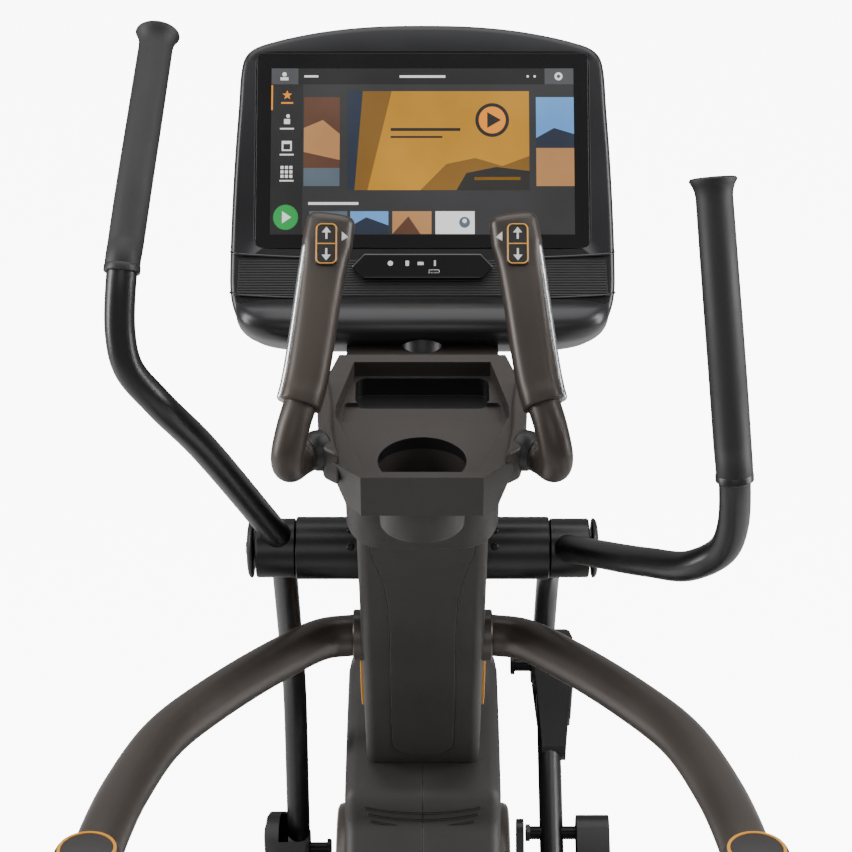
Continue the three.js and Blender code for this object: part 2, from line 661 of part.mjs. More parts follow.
function consoleOutline(grow) {
  const half = [
    [120, 151], [160, 141], [198, 124], [207, 112], [215, -60], [217, -150], [214, -172], [204, -200],
    [184, -218], [150, -226],
  ];
  const right = half.map(([x, y]) => new THREE.Vector2(x + grow * Math.sign(x), y + grow * Math.sign(y)));
  const left = right.map((p) => new THREE.Vector2(-p.x, p.y)).reverse();
  return new THREE.Shape([...right, ...left].reverse());
}

function consoleHousing() {
  const shell = extrudeIn(screenFrame, consoleOutline(0), -consoleDepth, 0);
  const lip = extrudeIn(screenFrame, roundedRect(-190, 190, -222, -172, 22, 3), -2, consoleLip);
  const half = screenGlass.width / 2 + gap;
  const glassWay = extrudeIn(screenFrame,
    roundedRect(-half, half, screenGlass.bottom - gap, screenGlass.top + gap, 8, 2),
    -screenGlass.thickness - gap, 20);
  const hollow = extrudeIn(screenFrame, roundedRect(-188, 188, -150, 108, 12, 2), -consoleDepth - 10, -14);
  const speaker = extrudeIn(screenFrame, roundedRect(-128, 128, -165, -128, 8, 2), -8, 20);
  const underCut = box(-260, 260, -200, 200, consoleUnderside - 120, consoleUnderside);
  const neckWay = rod([0, neckFoot.y, neckFoot.z], [0, neckHead.y + 2, neckHead.z + 4.7], neckRadius + gap);
  return cut(join(shell, lip), glassWay, hollow, speaker, underCut, neckWay);
}
addPiece("console_housing", consoleHousing(), darkShell());
addPiece("console_neck", neckPost, mouldedBlack());
const glassOutline = roundedRect(-screenGlass.width / 2, screenGlass.width / 2,
  screenGlass.bottom, screenGlass.top, 7, 2);
addPiece("display_screen", extrudeIn(screenFrame, glassOutline, -screenGlass.thickness, 0),
  finish(0x0c0d10, 0.12, 0.1));
addPiece("control_board", extrudeIn(screenFrame, roundedRect(-90, 90, -100, 60, 6, 2), -24, -20),
  finish(0x1f4a33, 0.6, 0));
const backPlate = extrudeIn(screenFrame, roundedRect(-196, 196, -154, 116, 18, 3),
  -consoleDepth - 9, -consoleDepth - gap);
const backBulge = extrudeIn(screenFrame, roundedRect(-150, 150, -120, 84, 24, 3),
  -consoleDepth - 24, -consoleDepth - 8);
addPiece("console_back_cover", cut(join(backPlate, backBulge),
  box(-260, 260, -200, 200, consoleUnderside - 120, consoleUnderside)), mouldedBlack());

function podOutline() {
  return new THREE.Shape([[-78, -136], [-62, -150], [62, -150], [78, -136], [62, -122], [-62, -122]]
    .map((p) => new THREE.Vector2(...p)));
}
addPiece("port_pod", cut(extrudeIn(screenFrame, podOutline(), 0.3, 9),
  extrudeIn(screenFrame, roundedRect(-7, 7, -140, -134, 1, 1), 3, 20)), finish(0x0d0d0e, 0.2, 0));

// ---- Pulse grips with their sensors and rockers ----
const pulseStations = [             // X, Y and height above the hub axis
  [110, -292, 266], [124, -304, 263], [134, -330, 268], [135, -344, 287], [129, -338, 315],
  [117, -312, 350], [99, -226, 451],
];
const headCentre = place(-218, 459);
const [gripLow, gripHigh] = pulseStations.slice(-2);
const gripLean = Math.atan2(gripHigh[1] - gripLow[1], gripHigh[2] - gripLow[2]);
const gripUp = [0, Math.sin(gripLean), Math.cos(gripLean)];
const gripOut = [0, -Math.cos(gripLean), Math.sin(gripLean)];

for (const { name, s } of sides) {
  const stations = pulseStations.map(([x, y, rise]) => [s * x, y, hubHeight + rise]);
  const tube = sweep(smooth(stations), pulseRadius, 11);
  const headFrame = frameOf([s * 97, headCentre.y, headCentre.z], [1, 0, 0], gripUp, gripOut);
  const head = extrudeIn(headFrame, roundedRect(-pulseHead.width / 2, pulseHead.width / 2,
    -pulseHead.height / 2, pulseHead.height / 2, 20, 4), -pulseHead.depth / 2, pulseHead.depth / 2);
  const seat = extrudeIn(headFrame, roundedRect(-rockerSize.width / 2 - 1, rockerSize.width / 2 + 1,
    -rockerSize.height / 2 - 1.5, rockerSize.height / 2 + 1.5, 9, 3), pulseHead.depth / 2 - 6, 40);
  const flange = rod([s * 101, -288, hubHeight + 267], [s * 116, -297, hubHeight + 266], 21);
  const sensorSpan = smooth([stations[4], stations[5], stations[6]]);
  const sensorCurve = smooth([0.12, 0.36, 0.6].map((t) => {
    const p = sensorSpan.getPoint(t);
    return [p.x + s * (pulseRadius - 1), p.y, p.z];
  }));
  const sensor = sweep(sensorCurve, sensorRadius, 3);
  const grip = cut(join(tube, head, flange), seat, sweep(sensorCurve, sensorRadius + gap, 3), trayPiece);
  addPiece(name + "_pulse_grip", largest(grip), mouldedBlack());
  addPiece(name + "_pulse_sensor", sensor, steel());
  const rocker = extrudeIn(headFrame, roundedRect(-rockerSize.width / 2, rockerSize.width / 2,
    -rockerSize.height / 2, rockerSize.height / 2, 8, 3), pulseHead.depth / 2 - 3, pulseHead.depth / 2 + 4);
  addPiece(name + "_speed_rocker", rocker, softBlack());
}

function largest(solid) {
  return solid.decompose().sort((a, b) => b.volume() - a.volume())[0];
}

// ---- Arms, pedal links, swing links and couplers ----
for (const { name, s } of sides) {
  const at = linkageAt(s * restSwing);
  const across = (x, p) => [s * x, p.y, p.z];
  const inner = hubTubeHalf + 1;

  const sleeve = barX(sleeveRadius, s * inner, s * (inner + sleeveLength), hub);
  const sleeveBore = boreX(hubAxleRadius + runGap, s * 100, s * 260, hub);
  const bend = 60;
  const before = below(at.elbow, -bend, linkUpper.angle + at.swing);
  const after = below(at.elbow, bend, linkLower.angle + at.swing);
  const corner = new THREE.QuadraticBezierCurve3(new THREE.Vector3(...across(linkX, before)),
    new THREE.Vector3(...across(linkX, at.elbow)), new THREE.Vector3(...across(linkX, after)));
  const boss = barX(linkBossRadius, s * (linkX - 15), s * (linkX + 15), at.pin);
  const lowerLink = cut(join(sleeve,
    rod(across(linkX, hub), across(linkX, before), linkTubeRadius), sweep(corner, linkTubeRadius, 4),
    rod(across(linkX, after), across(linkX, at.pin), linkTubeRadius), boss),
  sleeveBore, boreX(pinRadius + runGap, s * 100, s * 260, at.pin));
  addPiece(name + "_lower_link", lowerLink, satinBlack());

  const capX = inner + sleeveLength + gap + 3;
  const capProfile = [[0, 0], [sleeveRadius - 2, 0], [sleeveRadius, 1.5],
    [sleeveRadius - 3, endCapLength - 1], [12, endCapLength + 1], [8, endCapLength + 1],
    [8, endCapLength + 4], [0, endCapLength + 4]];
  const cap = new THREE.LatheGeometry(capProfile.map((p) => new THREE.Vector2(...p)), 24);
  cap.rotateZ(-s * Math.PI / 2);
  cap.translate(s * capX, hub.y, hub.z);
  addPiece(name + "_hub_cap", solidOf(cap), mouldedBlack());

  const handleCurve = smooth(handleStations.map(({ radius, angle, x }) => {
    const point = turned({ y: -radius * Math.sin(rad(angle)), z: hub.z + radius * Math.cos(rad(angle)) },
      hub, at.swing);
    return [s * x, point.y, point.z];
  }));
  const handleFoot = handleCurve.getPoint(0);
  const firstRun = handleCurve.getTangent(0);
  const rootStart = handleFoot.clone().addScaledVector(firstRun, -34);
  const bar = join(sweep(handleCurve, handleTubeRadius, handleSteps),
    rod(rootStart.toArray(), handleFoot.clone().addScaledVector(firstRun, 4).toArray(), handleTubeRadius));
  const handlebar = cut(bar, barX(sleeveRadius + gap, s * 140, s * 210, hub));
  addPiece(name + "_handlebar", largest(handlebar), satinBlack());
  const steps = 12;
  const gripPoints = [];
  for (let i = 0; i <= steps; i++) {
    gripPoints.push(handleCurve.getPointAt(1 - gripShare * (1 - i / steps)).toArray());
  }
  const end = handleCurve.getPointAt(1);
  const endTangent = handleCurve.getTangentAt(1);
  gripPoints.push(end.clone().addScaledVector(endTangent, gripEndWall + gap).toArray());
  const sleeveTool = join(sweep(handleCurve, handleTubeRadius + gap, handleSteps),
    rod(end.clone().addScaledVector(endTangent, -4).toArray(),
      end.clone().addScaledVector(endTangent, gap).toArray(), handleTubeRadius + gap));
  const grip = cut(sweep(smooth(gripPoints), gripRadius, 6), sleeveTool);
  addPiece(name + "_handle_grip", largest(grip), softBlack());

  const pinHead = hexX(14, s * 122, s * 128, at.pin);
  const pin = join(pinHead, barX(pinRadius, s * 122, s * 196, at.pin));
  addPiece(name + "_link_pin", pin, steel());

  const eye = strap(at.pin, behindTowards(at.pin, at.knee, 100), 27, 15, s * 183, s * 192);
  const tubeStart = behindTowards(at.pin, at.knee, 46);
  const mainRod = rod(across(pedalLinkX, tubeStart), across(pedalLinkX, at.knee), pedalTubeRadius);
  const kneeBall = barX(pedalTubeRadius, s * (pedalLinkX - 8), s * (pedalLinkX + 8), at.knee);
  const levelRod = rod(across(pedalLinkX, at.knee), across(pedalLinkX, at.end), pedalTubeRadius);
  const innerBar = strap(behindTowards(at.pin, at.knee, 62), at.sidePin, 11, 13, s * 143, s * 151, 8);
  const spacer = barX(9, s * 143, s * pedalLinkX, behindTowards(at.pin, at.knee, 70));
  const sidePin = barX(pinRadius, s * sidePinInner, s * outerTubeX, at.sidePin);
  const sideNut = hexX(13, s * sidePinInner, s * (sidePinInner + 6), at.sidePin);
  const outerKnee = across(outerTubeX + 10, at.knee);
  const outerRods = [
    rod(across(outerTubeX, at.sidePin), outerKnee, outerTubeRadius),
    rod(outerKnee, across(outerTubeEndX, at.end), outerTubeRadius),
    barX(outerTubeRadius, s * (outerTubeX - 4), s * (outerTubeX + 6), at.sidePin),
    barX(outerTubeRadius, s * (outerTubeX + 4), s * (outerTubeX + 16), at.knee),
  ];
  const crossEnd = barX(15, s * (pedalLinkX - 12), s * 258, at.end);
  const pedalLink = cut(
    join(eye, mainRod, kneeBall, levelRod, innerBar, spacer, sidePin, sideNut, ...outerRods, crossEnd),
    boreX(pinRadius + runGap, s * 100, s * 260, at.pin));
  addPiece(name + "_pedal_link", pedalLink, satinBlack());

  const pedalUp = [0, -Math.sin(rad(at.tiltChange)), Math.cos(rad(at.tiltChange))];
  const pedalAhead = [0, Math.cos(rad(at.tiltChange)), Math.sin(rad(at.tiltChange))];
  const pedalFrame = frameOf([s * (pedal.inner + pedal.width / 2), at.end.y, at.end.z],
    [1, 0, 0], pedalAhead, pedalUp);
  const plateLow = pedalTubeRadius + gap;
  const plateHigh = plateLow + pedal.thickness;
  const rear = -pedal.length / 2 - pedal.behind;
  const front = pedal.length / 2 - pedal.behind;
  const foot = extrudeIn(pedalFrame, roundedRect(-pedal.width / 2, pedal.width / 2, rear, front, 36, 5),
    plateLow, plateHigh + pedal.rim);
  const sole = extrudeIn(pedalFrame,
    roundedRect(-pedal.width / 2 + 7, pedal.width / 2 - 7, rear + 8, front - 8, 30, 5),
    plateHigh, plateHigh + 40);
  const heelWay = extrudeIn(pedalFrame, roundedRect(-pedal.width / 2 + 18, pedal.width / 2 - 18, rear - 30,
    rear + 40, 4, 1), plateHigh, plateHigh + 40);
  addPiece(name + "_pedal", cut(foot, sole, heelWay), softBlack());

  const coverEnd = behindTowards(at.pin, at.knee, 118);
  const coverOuter = strap(at.pin, coverEnd, 50, 22, s * 153, s * 208, 10);
  const coverInner = strap(at.pin, coverEnd, 47, 19, s * 150, s * 205, 10);
  const slot = linkSlot(at, s);
  const tailWay = rod(across(pedalLinkX, at.pin), across(pedalLinkX, at.knee), pedalTubeRadius + gap + 0.3);
  addPiece(name + "_link_cover", cut(coverOuter, coverInner, slot, tailWay), mouldedBlack());

  const armCoverEnd = behindTowards(at.sidePin, at.knee, 70);
  const armCover = strap(at.sidePin, armCoverEnd, 24, 18, s * 206, s * 250, 8);
  const armHollow = join(strap(at.sidePin, armCoverEnd, 21, 15, s * 203, s * 247, 8),
    rod(across(outerTubeX, at.sidePin), outerKnee, outerTubeRadius + 1));
  addPiece(name + "_pedal_arm_cover", cut(armCover, armHollow), mouldedBlack());

  const swing = strap(swingPivot, at.end, swingWidth / 2 + 4, swingWidth / 2 + 2,
    s * (swingX - swingThickness / 2), s * (swingX + swingThickness / 2));
  const swingBore = boreX(pinRadius + runGap, s * 200, s * 300, swingPivot);
  const waist = strap(towards(swingPivot, at.end, 0.12), towards(swingPivot, at.end, 0.88),
    swingWidth / 2 - 9, swingWidth / 2 - 9, s * (swingX + 4), s * (swingX + 40), 8);
  addPiece(name + "_swing_link", cut(swing, swingBore, waist), satinBlack());

  const crankPin = turned({ y: crankCentre.y + s * crankThrow, z: crankCentre.z }, crankCentre, crankAngle);
  const coupler = strap(at.sidePin, crankPin, 19, 19, s * (couplerX - couplerThickness / 2),
    s * (couplerX + couplerThickness / 2));
  const couplerBore = boreX(pinRadius + runGap, s * 100, s * 160, crankPin);
  addPiece(name + "_coupler", cut(coupler, couplerBore), satinBlack());
}

function towards(a, b, share) {
  return { y: a.y + (b.y - a.y) * share, z: a.z + (b.z - a.z) * share };
}

function behindTowards(from, to, distance) {
  return towards(from, to, distance / Math.hypot(to.y - from.y, to.z - from.z));
}

// The way that the lower link needs through the rim of its cover as the two turn.
function linkSlot(at, s) {
  const reach = 90;
  const points = [{ y: at.pin.y, z: at.pin.z }];
  for (const turn of [-36, -18, 0, 18, 36]) {
    points.push(below(at.pin, -reach, linkLower.angle + at.tiltChange + turn));
  }
  return profileX(points.reverse(), s * 140, s * 190);
}

// ---- Origin: middle of the footprint, on the floor ----
const bounds = new THREE.Box3().setFromObject(group);
const centre = bounds.getCenter(new THREE.Vector3());
group.position.set(-centre.x, -centre.y, -bounds.min.z);

export default group;
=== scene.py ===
import json
import math

import bmesh
import bpy
import numpy as np
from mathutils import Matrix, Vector


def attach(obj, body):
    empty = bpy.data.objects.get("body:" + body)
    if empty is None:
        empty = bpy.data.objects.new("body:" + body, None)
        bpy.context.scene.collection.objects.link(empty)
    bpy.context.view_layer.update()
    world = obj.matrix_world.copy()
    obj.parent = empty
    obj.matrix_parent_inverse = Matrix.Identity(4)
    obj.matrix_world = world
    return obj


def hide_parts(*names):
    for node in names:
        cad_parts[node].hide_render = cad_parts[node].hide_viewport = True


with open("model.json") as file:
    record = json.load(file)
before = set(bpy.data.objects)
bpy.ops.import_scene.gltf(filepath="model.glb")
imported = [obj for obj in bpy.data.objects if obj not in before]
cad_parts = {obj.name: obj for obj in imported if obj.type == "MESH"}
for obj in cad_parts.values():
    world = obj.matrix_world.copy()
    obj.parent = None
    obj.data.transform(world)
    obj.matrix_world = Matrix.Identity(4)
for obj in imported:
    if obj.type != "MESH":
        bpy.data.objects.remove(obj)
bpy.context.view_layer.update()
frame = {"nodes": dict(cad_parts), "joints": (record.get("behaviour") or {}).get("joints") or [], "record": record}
record = frame["record"]
bodyOfNode = {n: b for b, members in record["behaviour"]["bodies"].items() for n in members}
jointPlace = {j["name"]: np.array(j["pos_m"]) * 1000 for j in frame["joints"]}
hubAxis = jointPlace["right_arm_swing"] * [0, 1, 1]
print("frame loaded")


# A leaning frame: its origin in mm from the hub axis, and its three directions as rows, turned about X.
def leaning(origin, degrees):
    a = math.radians(degrees)
    rows = [[1, 0, 0], [0, math.cos(a), math.sin(a)], [0, -math.sin(a), math.cos(a)]]
    return np.array(origin, float), np.array(rows)


hubFrame = leaning((0, 0, 0), 0)
columnFrame = leaning((0, 0, 0), 32.3)
screenFrame = leaning((0, 90, 461), 55)
trayFrame = leaning((0, -287, 253), 6.6)
headLean = 90 - math.degrees(math.atan2(101, 86))
headFrames = {s: leaning((s * 97, -218, 459), 90 - headLean) for s in (-1, 1)}
sideNames = {-1: "left", 1: "right"}
restSwing = 14.25


# Points in a frame, in mm, as points of the row frame in metres: the origin plus each row times its number.
def placed(points, where=hubFrame):
    origin, rows = where
    return (np.asarray(points, float) @ rows + origin + hubAxis) / 1000


# Adds one node to a tree, with its fields, its input values and the sockets linked into it.
def addNode(tree, kind, fields=None, inputs=None, links=None):
    made = tree.nodes.new(kind)
    for field, value in (fields or {}).items():
        setattr(made, field, value)
    for name, value in (inputs or {}).items():
        made.inputs[name].default_value = value
    for name, socket in (links or {}).items():
        tree.links.new(socket, made.inputs[name])
    return made


# sRGB hex to linear: each channel over 255, straight below 0.04045 and a power of 2.4 above it.
def linear(code):
    channel = np.array([int(code[i:i + 2], 16) for i in (1, 3, 5)]) / 255
    curve = np.where(channel <= 0.04045, channel / 12.92, ((channel + 0.055) / 1.055) ** 2.4)
    return (*curve.tolist(), 1.0)


# A finish: the colour drifts between two shades, the gloss drifts with it, and grain (mm) stands up as bump.
def finishOf(name, shades, roughness, grain=0.9, relief=0.1, drift=70, metallic=0.0, ior=1.5, coat=0.0,
             stretch=(1, 1, 1), ribs=0, lean=0, glow=0.0):
    material = bpy.data.materials.new(name)
    material.use_nodes = True
    tree = material.node_tree
    tree.nodes.clear()
    place = addNode(tree, "ShaderNodeTexCoord")
    turned = addNode(tree, "ShaderNodeMapping",
                     inputs={"Rotation": (-math.radians(lean), 0, 0), "Scale": stretch},
                     links={"Vector": place.outputs["Object"]})
    slow = addNode(tree, "ShaderNodeTexNoise", inputs={"Scale": 1000 / drift, "Detail": 4.0},
                   links={"Vector": turned.outputs["Vector"]})
    tone = addNode(tree, "ShaderNodeValToRGB", links={"Fac": slow.outputs["Fac"]})
    tone.color_ramp.elements[0].position = 0.35
    tone.color_ramp.elements[1].position = 0.65
    tone.color_ramp.elements[0].color = linear(shades[0])
    tone.color_ramp.elements[1].color = linear(shades[1])
    gloss = addNode(tree, "ShaderNodeMapRange", inputs={"From Min": 0.3, "From Max": 0.7,
                    "To Min": max(0.02, roughness - 0.05), "To Max": min(1, roughness + 0.05)},
                    links={"Value": slow.outputs["Fac"]})
    if ribs:  # wave bands are 0.314 over the scale apart, in metres
        fine = addNode(tree, "ShaderNodeTexWave", {"bands_direction": "Y"},
                       {"Scale": 314 / ribs, "Distortion": 0.0}, {"Vector": turned.outputs["Vector"]})
    else:
        fine = addNode(tree, "ShaderNodeTexNoise", inputs={"Scale": 1000 / grain, "Detail": 2.0},
                       links={"Vector": turned.outputs["Vector"]})
    bump = addNode(tree, "ShaderNodeBump", inputs={"Strength": relief, "Distance": (ribs or grain) / 2500},
                   links={"Height": fine.outputs["Fac"]})
    shader = addNode(tree, "ShaderNodeBsdfPrincipled",
                     inputs={"Metallic": metallic, "IOR": ior, "Coat Weight": coat, "Coat Roughness": 0.2},
                     links={"Roughness": gloss.outputs["Result"], "Normal": bump.outputs["Normal"],
                            "Emission Color" if glow else "Base Color": tone.outputs["Color"]})
    if glow:  # lit ink: its colour is given off, over a near black base
        shader.inputs["Emission Strength"].default_value = glow
        shader.inputs["Base Color"].default_value = (0.003, 0.003, 0.003, 1.0)
    addNode(tree, "ShaderNodeOutputMaterial", links={"Surface": shader.outputs["BSDF"]})
    return material


# Powder coat on steel: fine orange peel, soft highlights. Its 0.9 mm peel is drawn a little coarse, to show.
powderCoatBlack = finishOf("powderCoatBlack", ("#0b0b0c", "#0f0f10"), 0.34, 1.1, 0.12, 160)
# Bronze-grey powder coat with fine metal flake: broad warm highlights.
powderCoatBronze = finishOf("powderCoatBronze", ("#4b4541", "#514b46"), 0.36, 0.9, 0.1, 260, 0.5)
# Moulded ABS with a spark-eroded texture: matt, warm dark grey.
texturedAbsGrey = finishOf("texturedAbsGrey", ("#292726", "#2d2b2a"), 0.55, 0.8, 0.22, 200)
# The same texture in the tray's lighter bronze-grey.
texturedAbsBronze = finishOf("texturedAbsBronze", ("#2a2523", "#2e2926"), 0.5, 0.8, 0.2, 200)
# Satin painted ABS of the console: gunmetal black, smooth.
satinAbsGunmetal = finishOf("satinAbsGunmetal", ("#1e1e20", "#242426"), 0.32, 0.7, 0.06, 200, 0.3)
# Satin moulded grips in dark bronze.
satinAbsBronze = finishOf("satinAbsBronze", ("#332c27", "#3a322c"), 0.4, 0.9, 0.1, 160, 0.3)
# Plain black moulding with a fine texture.
texturedAbsBlack = finishOf("texturedAbsBlack", ("#0c0c0d", "#101011"), 0.44, 0.8, 0.16, 120)
# Foam rubber sleeve: closed cells about 0.6 mm wide, drawn at 1.2 mm, almost no shine.
foamRubberBlack = finishOf("foamRubberBlack", ("#0b0b0c", "#0e0e0f"), 0.6, 1.2, 0.28, 90)
# Tread rubber: ribs across the foot 6 mm apart.
treadRubberBlack = finishOf("treadRubberBlack", ("#121213", "#181819"), 0.7, 1.4, 0.3, 60, ribs=6)
# Brushed stainless steel: long thin scratches along the part.
brushedSteel = finishOf("brushedSteel", ("#a4a5a6", "#bfc0c0"), 0.27, 0.5, 0.12, 12, 1.0, stretch=(9, 1, 1))
# Black oxide on steel: pins, bolts and nuts.
blackOxideSteel = finishOf("blackOxideSteel", ("#161618", "#1e1e20"), 0.32, 0.8, 0.08, 20, 0.8)
# Cast iron with a machined rim.
castIronGrey = finishOf("castIronGrey", ("#3b3b3d", "#4b4b4d"), 0.45, 1.5, 0.25, 20, 0.9)
# Polished black ABS: deep and glossy.
polishedAbsBlack = finishOf("polishedAbsBlack", ("#040405", "#060607"), 0.14, 2, 0.01, 120, coat=0.3)
# Perforated speaker face: fine ribs 3 mm apart.
speakerMeshBlack = finishOf("speakerMeshBlack", ("#070708", "#0a0a0b"), 0.6, 1, 0.5, 80, ribs=3, lean=55)
# Amber trim paint.
amberPaint = finishOf("amberPaint", ("#c4821a", "#d6962a"), 0.4, 1, 0.05, 60)
# White pad printing ink.
whiteInk = finishOf("whiteInk", ("#cfcfcc", "#deded9"), 0.5, 1, 0.05, 40)
# Green solder mask.
solderMaskGreen = finishOf("solderMaskGreen", ("#1d5136", "#256342"), 0.4, 0.6, 0.1, 15)
# Zinc plated bolt heads.
zincPlated = finishOf("zincPlated", ("#8c8d8b", "#a2a3a0"), 0.3, 0.8, 0.08, 10, 1.0)
print("finishes made")


# Points and faces as a piece of its own, with equal points joined and its faces turned outwards.
def makePiece(name, node, material, points, faces, bevel=0, sharp=40, stands=True, segments=3):
    mesh = bpy.data.meshes.new(name)
    mesh.from_pydata(np.asarray(points).tolist(), [], [list(f) for f in faces])
    form = bmesh.new()
    form.from_mesh(mesh)
    bmesh.ops.remove_doubles(form, verts=form.verts, dist=1e-6)
    bmesh.ops.recalc_face_normals(form, faces=form.faces)
    return finishPiece(name, node, material, form, mesh, bevel, sharp, stands, segments)


# Rounds the edges sharper than an angle, by a width in mm.
def roundedEdges(piece, width, sharp, segments):
    edge = piece.modifiers.new("roundedEdges", "BEVEL")
    edge.width, edge.segments, edge.limit_method = width / 1000, segments, "ANGLE"
    edge.angle_limit, edge.harden_normals = math.radians(sharp), True


# Finishes a piece: smooth but for edges sharper than the angle, which the bevel (mm) rounds off; it rides the
# node's body, takes the given finish and, if it stands for the node, replaces it.
def finishPiece(name, node, material, form, mesh, bevel, sharp, stands, segments):
    form.to_mesh(mesh)
    form.free()
    mesh.shade_smooth()
    mesh.set_sharp_from_angle(angle=math.radians(sharp))
    mesh.materials.append(material)
    piece = bpy.data.objects.new(name, mesh)
    bpy.context.scene.collection.objects.link(piece)
    if bevel:
        roundedEdges(piece, bevel, sharp, segments)
    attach(piece, bodyOfNode[node])
    if stands:
        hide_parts(node)
    return piece


# A CAD node's own form, merged and with its flat faces joined, so that its edges take a rounding.
def softened(name, node, material, bevel=1.2, sharp=38, segments=2):
    form = bmesh.new()
    form.from_mesh(frame["nodes"][node].data)
    bmesh.ops.remove_doubles(form, verts=form.verts, dist=1e-5)
    bmesh.ops.dissolve_limit(form, angle_limit=math.radians(1), verts=form.verts, edges=form.edges)
    return finishPiece(name, node, material, form, bpy.data.meshes.new(name), bevel, sharp, True, segments)


# Faces of a closed skin: rings by columns as quads, and a fan to the middle of the first and last ring.
def skin(rings):
    rows, columns = rings.shape[:2]
    points = np.concatenate([rings.reshape(-1, 3), rings[0].mean(0)[None], rings[-1].mean(0)[None]])
    c = np.arange(columns)
    n = (c + 1) % columns
    base = (np.arange(rows - 1) * columns)[:, None]
    quads = np.stack([base + c, base + n, base + columns + n, base + columns + c], -1).reshape(-1, 4)
    last = (rows - 1) * columns
    low = np.stack([n, c, np.full(columns, rows * columns)], -1)
    high = np.stack([last + c, last + n, np.full(columns, rows * columns + 1)], -1)
    return points, quads.tolist() + low.tolist() + high.tolist()


# A smooth path through stations: centripetal Catmull-Rom, a cubic between each pair whose end slopes come
# from its neighbours, weighted by the square roots of the distances.
def smoothPath(stations, count):
    p = np.asarray(stations, float)
    p = np.concatenate([[2 * p[0] - p[1]], p, [2 * p[-1] - p[-2]]])
    at = np.linspace(0, len(p) - 3, count)
    i = np.minimum(at.astype(int), len(p) - 4)
    w = (at - i)[:, None]
    a, b, c, d = p[i], p[i + 1], p[i + 2], p[i + 3]
    gaps = [np.sqrt(np.linalg.norm(v, axis=1))[:, None] for v in (b - a, c - b, d - c)]
    first = ((b - a) / gaps[0] - (c - a) / (gaps[0] + gaps[1]) + (c - b) / gaps[1]) * gaps[1]
    second = ((c - b) / gaps[1] - (d - b) / (gaps[1] + gaps[2]) + (d - c) / gaps[2]) * gaps[1]
    squared, cubed = 3 * (c - b) - 2 * first - second, 2 * (b - c) + first + second
    return b + first * w + squared * w ** 2 + cubed * w ** 3


# Rings square to a path: radius times a rounded square of the given power, with ends rounded by their edge.
def tubeRings(path, radius, reference, sides=36, edges=(2, 2), power=2.0):
    path = np.asarray(path, float)
    along = np.gradient(path, axis=0)
    along /= np.linalg.norm(along, axis=1)[:, None]
    across = np.cross(np.broadcast_to(np.array(reference, float), path.shape), along)
    across /= np.linalg.norm(across, axis=1)[:, None]
    other = np.cross(along, across)
    radius = np.asarray(radius, float)
    size = np.broadcast_to(radius if radius.ndim == 2 else radius.reshape(-1, 1), (len(path), 2))
    bow = np.linspace(0, np.pi / 2, 6)
    index = np.concatenate([np.zeros(6, int), np.arange(len(path)), np.full(6, len(path) - 1)])
    shift = np.concatenate([-edges[0] * np.cos(bow), np.zeros(len(path)), edges[1] * np.sin(bow)])
    trim = np.concatenate([edges[0] * (1 - np.sin(bow)), np.zeros(len(path)), edges[1] * (1 - np.cos(bow))])
    middle = path[index] + along[index] * shift[:, None]
    size = size[index] - trim[:, None]
    turn = np.linspace(0, 2 * np.pi, sides, endpoint=False)
    wave = np.stack([np.cos(turn), np.sin(turn)])
    wave = np.sign(wave) * np.abs(wave) ** (2 / power)
    return (middle[:, None] + across[index][:, None] * (size[:, :1] * wave[0])[..., None]
            + other[index][:, None] * (size[:, 1:] * wave[1])[..., None])


# A turned form: each profile pair is a distance along the axis and a radius, carried round a circle.
def turnedRings(centre, axis, profile, sides=48):
    axis = np.array(axis, float) / np.linalg.norm(axis)
    aside = np.cross(axis, [0.0, 0.6, 0.8] if abs(axis[0]) > 0.9 else [1.0, 0, 0])
    aside /= np.linalg.norm(aside)
    other = np.cross(axis, aside)
    profile = np.array(profile, float)
    turn = np.linspace(0, 2 * np.pi, sides, endpoint=False)
    ring = aside * np.cos(turn)[:, None] + other * np.sin(turn)[:, None]
    return (np.array(centre, float) + profile[:, 0][:, None, None] * axis
            + profile[:, 1][:, None, None] * ring[None])


# A flat outline raised from low to high: two end faces and a quad for each side.
def slab(outline, low, high):
    outline = np.asarray(outline, float)
    count = len(outline)
    points = np.concatenate([np.column_stack([outline, np.full(count, h)]) for h in (low, high)])
    c = np.arange(count)
    n = (c + 1) % count
    walls = np.stack([c, n, n + count, c + count], -1).tolist()
    return points, [c[::-1].tolist(), (c + count).tolist()] + walls


# A rounded rectangle: a quarter circle at each corner.
def roundedBox(x0, x1, y0, y1, corner, steps=8):
    arc = np.linspace(0, np.pi / 2, steps)
    ring = [np.column_stack([cx + corner * np.cos(arc + start), cy + corner * np.sin(arc + start)])
            for cx, cy, start in ((x1 - corner, y1 - corner, 0), (x0 + corner, y1 - corner, np.pi / 2),
                                  (x0 + corner, y0 + corner, np.pi), (x1 - corner, y0 + corner, 1.5 * np.pi))]
    return np.concatenate(ring)


# A tube along a path, as a piece.
def tubePiece(name, node, material, path, radius, reference, stands=True, where=hubFrame, **more):
    return makePiece(name, node, material, *skin(placed(tubeRings(path, radius, reference, **more), where)),
                     sharp=50, stands=stands)


# A turned form, as a piece.
def turnedPiece(name, node, material, centre, axis, profile, stands=True, where=hubFrame, sides=48):
    rings = placed(turnedRings(centre, axis, profile, sides), where)
    return makePiece(name, node, material, *skin(rings), sharp=32, stands=stands)


# A flat outline with a thickness, as a piece.
def slabPiece(name, node, material, outline, low, high, where, bevel=0.6, stands=False, segments=3):
    points, faces = slab(outline, low, high)
    return makePiece(name, node, material, placed(points, where), faces, bevel, 38, stands, segments)


# A form turned about X on one side: its name and its node take the side's name.
def sideTurned(s, name, node, material, centre, profile, stands=False, sides=48):
    turnedPiece(sideNames[s] + name, f"{sideNames[s]}_{node}", material, (0, *centre), (s, 0, 0), profile,
                stands, sides=sides)


